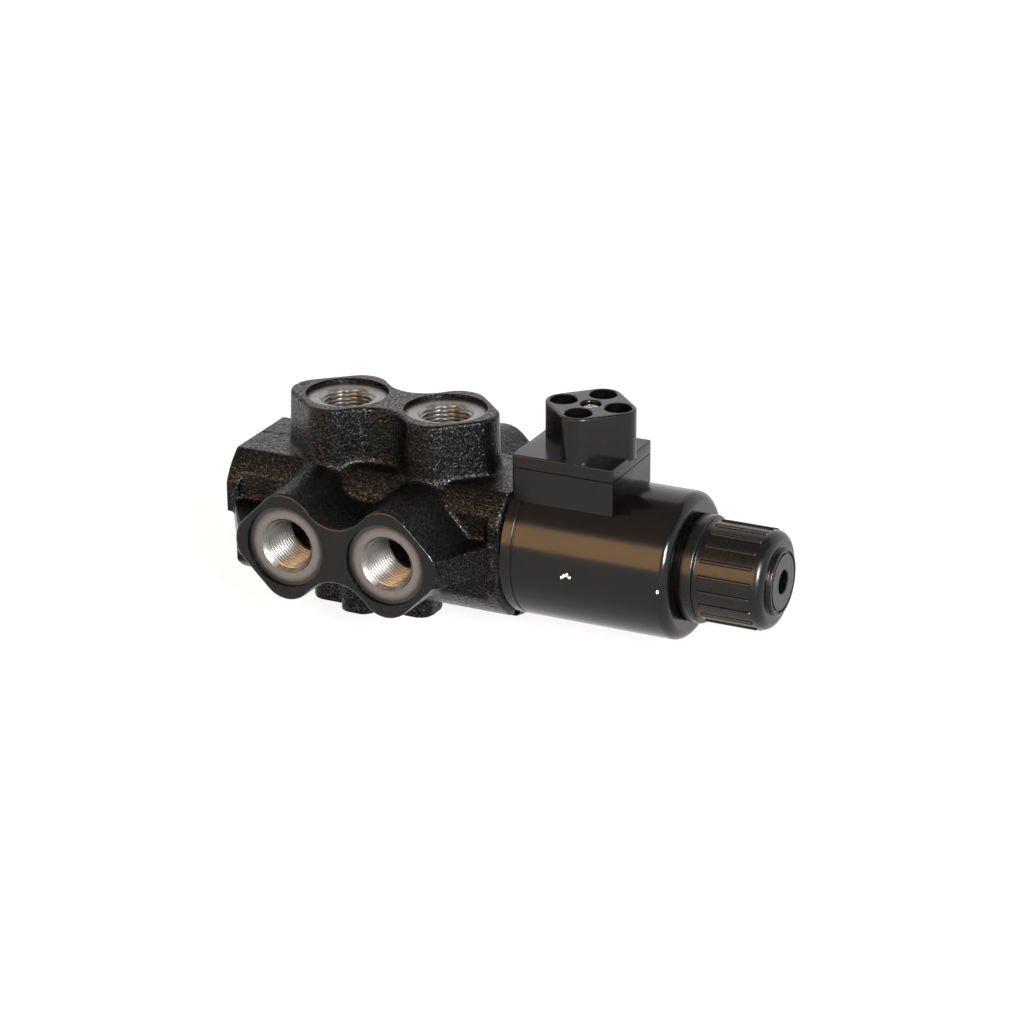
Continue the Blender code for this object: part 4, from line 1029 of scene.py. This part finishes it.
def port_finish(name, bright_r, level):
    """Turned steel at one painted light level: bright ring and thread, a stained rim and black lacquer beyond
    it.
    """
    made, tree, shader = new_material(name)
    place = coordinates(tree)
    flat = node(tree, "ShaderNodeVectorMath", {0: place, 1: (1, 1, 0)}, operation="MULTIPLY").outputs[0]
    radius = node(tree, "ShaderNodeVectorMath", {0: flat}, operation="LENGTH").outputs["Value"]
    wobble = noise_of(tree, 2.2, 4, vector=place)
    ragged = calculate(tree, "MULTIPLY_ADD", wobble, RIM_RAGGED * MM, radius)
    rim = (bright_r + RIM_OFFSET) * MM
    paint = remap(tree, ragged, 0, 1, rim, rim + RIM_BLUR * MM)
    stain = remap(tree, ragged, 0, 1, rim - STAIN_WIDTH * MM, rim)
    # The steel's warm tint is a painted warm reflection
    dull = [level * share for share in STEEL_PAINTED_WARM_TINT]
    bright = [STEEL_SPREAD * value for value in dull]
    steel = blend_colour(tree, remap(tree, wobble, 0, 1), dull, bright)
    stained = blend_colour(tree, stain, steel, STAIN)
    tree.links.new(blend_colour(tree, paint, stained, RIM_BLACK), shader.inputs["Base Color"])
    tree.links.new(remap(tree, paint, 1, 0, 0, 1), shader.inputs["Metallic"])
    rough = remap(tree, noise_of(tree, 1.2, 3, vector=place), *STEEL_ROUGHNESS)
    tree.links.new(rough, shader.inputs["Roughness"])
    rings = calculate(tree, "MULTIPLY", radius, 2 * math.pi / (TOOL_MARK_PITCH * MM))
    tool_marks = calculate(tree, "SINE", rings)
    tree.links.new(bump(tree, tool_marks, TOOL_MARK_DEPTH), shader.inputs["Normal"])
    return made


def winding_finish():
    """Enamelled copper wire laid in close turns along the axis."""
    made, tree, shader = new_material("copper_turns")
    wave_inputs = {"Vector": coordinates(tree), "Scale": WIRE_SCALE, "Distortion": 0.3}
    turns = node(tree, "ShaderNodeTexWave", wave_inputs, bands_direction="X").outputs["Fac"]
    tree.links.new(blend_colour(tree, turns, *COPPER), shader.inputs["Base Color"])
    tree.links.new(bump(tree, turns, WIRE_DEPTH), shader.inputs["Normal"])
    shader.inputs["Metallic"].default_value = 0.9
    shader.inputs["Roughness"].default_value = 0.35
    return made


def finishes():
    """One material for each material slot of the record, by slot name."""
    made = {
        "black_casting": casting_finish(),
        "black_coil_can": coil_finish(),
        "black_plastic": plastic_finish("black_moulded_plastic", PLASTIC_ROUGHNESS),
        "copper": winding_finish(),
    }
    for name, values in SPECKLED.items():
        made[name] = speckled(name, *values)
    return made


def dress(made, material, body, slot, *nodes):
    """A new piece's finish, the body it rides on, and the CAD nodes it stands for; its slot is not used."""
    made.data.materials.clear()
    made.data.materials.append(material)
    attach(made, body)
    if nodes:
        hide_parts(*nodes)


def record_slots():
    """The material slot of each CAD node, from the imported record."""
    slots = {}
    for name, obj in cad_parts.items():
        for used in obj.material_slots:
            slots[name] = used.material.name.split(".")[0]
    return slots


# Light, floor and camera


def stage_plane(name, corners, material):
    """A flat stage object through corners in metres."""
    mesh = bpy.data.meshes.new(name)
    mesh.from_pydata(corners, [], [list(range(len(corners)))])
    made = bpy.data.objects.new(name, mesh)
    bpy.context.scene.collection.objects.link(made)
    made.data.materials.append(material)
    return made


def level_corners(low, high, height):
    """Corners in metres of a level rectangle."""
    outline = [(low[0], low[1]), (high[0], low[1]), (high[0], high[1]), (low[0], high[1])]
    return [(x, y, height) for x, y in outline]


def seen_directly(tree):
    """One for camera, glossy and transmission rays."""
    path = node(tree, "ShaderNodeLightPath")
    total = calculate(tree, "ADD", path.outputs["Is Camera Ray"], path.outputs["Is Glossy Ray"])
    inputs = {0: total, 1: path.outputs["Is Transmission Ray"]}
    return node(tree, "ShaderNodeMath", inputs, use_clamp=True).outputs[0]


def floor_material():
    """A pale floor that reads as white to the camera and keeps part of its own light and shadow."""
    made, tree, shader = new_material("pale_floor")
    tree.nodes.remove(shader)
    matt = node(tree, "ShaderNodeBsdfDiffuse", {"Color": (FLOOR_GREY, FLOOR_GREY, FLOOR_GREY, 1)})
    glow = node(tree, "ShaderNodeEmission", {"Color": (1, 1, 1, 1), "Strength": FLOOR_GLOW})
    share = calculate(tree, "MULTIPLY", seen_directly(tree), FLOOR_GLOW_SHARE)
    mixed = node(tree, "ShaderNodeMixShader", {0: share, 1: matt.outputs[0], 2: glow.outputs[0]})
    tree.links.new(mixed.outputs[0], tree.nodes["Material Output"].inputs["Surface"])
    return made


def dark_card_material():
    """Matt grey card."""
    made, tree, shader = new_material("dark_card")
    shader.inputs["Base Color"].default_value = (CARD_GREY, CARD_GREY, CARD_GREY, 1)
    shader.inputs["Roughness"].default_value = 0.9
    shader.inputs["Specular IOR Level"].default_value = 0.0
    return made


def area_lamp(name, place, target, size, radiance):
    """An area lamp of a given radiance colour, aimed at a target."""
    width, height = size
    lamp = bpy.data.lights.new(name, "AREA")
    lamp.shape = "RECTANGLE"
    lamp.size = width
    lamp.size_y = height
    level = max(radiance)
    lamp.energy = level * math.pi * width * height
    lamp.color = [value / level for value in radiance]
    made = bpy.data.objects.new(name, lamp)
    bpy.context.scene.collection.objects.link(made)
    away = Vector(place) - Vector(target)
    made.matrix_world = Matrix.Translation(place) @ away.to_track_quat("Z", "Y").to_matrix().to_4x4()
    made.visible_camera = False


def light_and_floor():
    """White room, dark card overhead, warm panel low in front, white strip right of the camera."""
    world = bpy.data.worlds.new("studio")
    bpy.context.scene.world = world
    world.use_nodes = True
    background = world.node_tree.nodes["Background"]
    background.inputs["Color"].default_value = (1, 1, 1, 1)
    background.inputs["Strength"].default_value = WORLD_LEVEL
    floor = level_corners((-FLOOR_REACH, -FLOOR_REACH), (FLOOR_REACH, FLOOR_REACH), 0)
    stage_plane("floor", floor, floor_material())
    card = stage_plane("dark_card", level_corners(CARD_LOW, CARD_HIGH, CARD_HEIGHT), dark_card_material())
    card.visible_camera = False
    area_lamp("warm_panel", WARM_PANEL_PLACE, WARM_PANEL_TARGET, WARM_PANEL_SIZE, WARM_PANEL_RADIANCE)
    area_lamp("white_strip", WHITE_STRIP_PLACE, WHITE_STRIP_TARGET, WHITE_STRIP_SIZE, WHITE_STRIP_RADIANCE)


def place_camera():
    """The photograph's view."""
    back = Vector((
        math.sin(CAMERA_AZIMUTH) * math.cos(CAMERA_ELEVATION),
        -math.cos(CAMERA_AZIMUTH) * math.cos(CAMERA_ELEVATION),
        math.sin(CAMERA_ELEVATION),
    ))
    level = Vector((math.cos(CAMERA_AZIMUTH), math.sin(CAMERA_AZIMUTH), 0))
    rise = back.cross(level)
    right = level * math.cos(CAMERA_ROLL) + rise * math.sin(CAMERA_ROLL)
    up = rise * math.cos(CAMERA_ROLL) - level * math.sin(CAMERA_ROLL)
    lens = bpy.data.cameras.new("camera")
    lens.lens = CAMERA_LENS
    lens.sensor_width = CAMERA_SENSOR
    made = bpy.data.objects.new("camera", lens)
    bpy.context.scene.collection.objects.link(made)
    made.matrix_world = Matrix.Translation(CAMERA_PLACE) @ Matrix((right, up, back)).transposed().to_4x4()
    bpy.context.scene.camera = made


def main():
    """All pieces with their finishes, then the stage."""
    slots = record_slots()
    looks = finishes()
    for name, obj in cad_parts.items():
        obj.data.materials.clear()
        obj.data.materials.append(looks[slots[name]])
    dress(casting(), looks["black_casting"], "valve", "black_casting", "valve_body")
    # Top ports get a lighter copy of the steel and side ports a darker one: painted light and shade
    side_ports = port_finish("side_port_steel", SIDE_BRIGHT_R, SIDE_PORT_STEEL_SHADED)
    top_ports = port_finish("top_port_steel", TOP_BRIGHT_R, TOP_PORT_STEEL_LIT)
    for name, place, _, _ in port_places():
        steel = top_ports if name.startswith("top") else side_ports
        dress(port_sleeve(name, place), steel, "valve", "bright_steel")
    dress(end_plug(), looks["bright_steel"], "valve", "bright_steel", "end_plug")
    dress(coil_can(), looks["black_coil_can"], "coil", "black_coil_can", "coil_can")
    dress(tower(), looks["black_plastic"], "coil", "black_plastic", "terminal_tower")
    dress(connector_base(), looks["black_plastic"], "coil", "black_plastic", "connector_base")
    dress(connector_screw(), looks["bright_steel"], "coil", "bright_steel", "connector_screw")
    nut_plastic = plastic_finish("black_nut_plastic", NUT_ROUGHNESS)
    dress(ring_nut(), nut_plastic, "nut", "black_plastic", "ring_nut")
    light_and_floor()
    place_camera()
    bpy.context.scene.view_settings.view_transform = "Standard"


main()
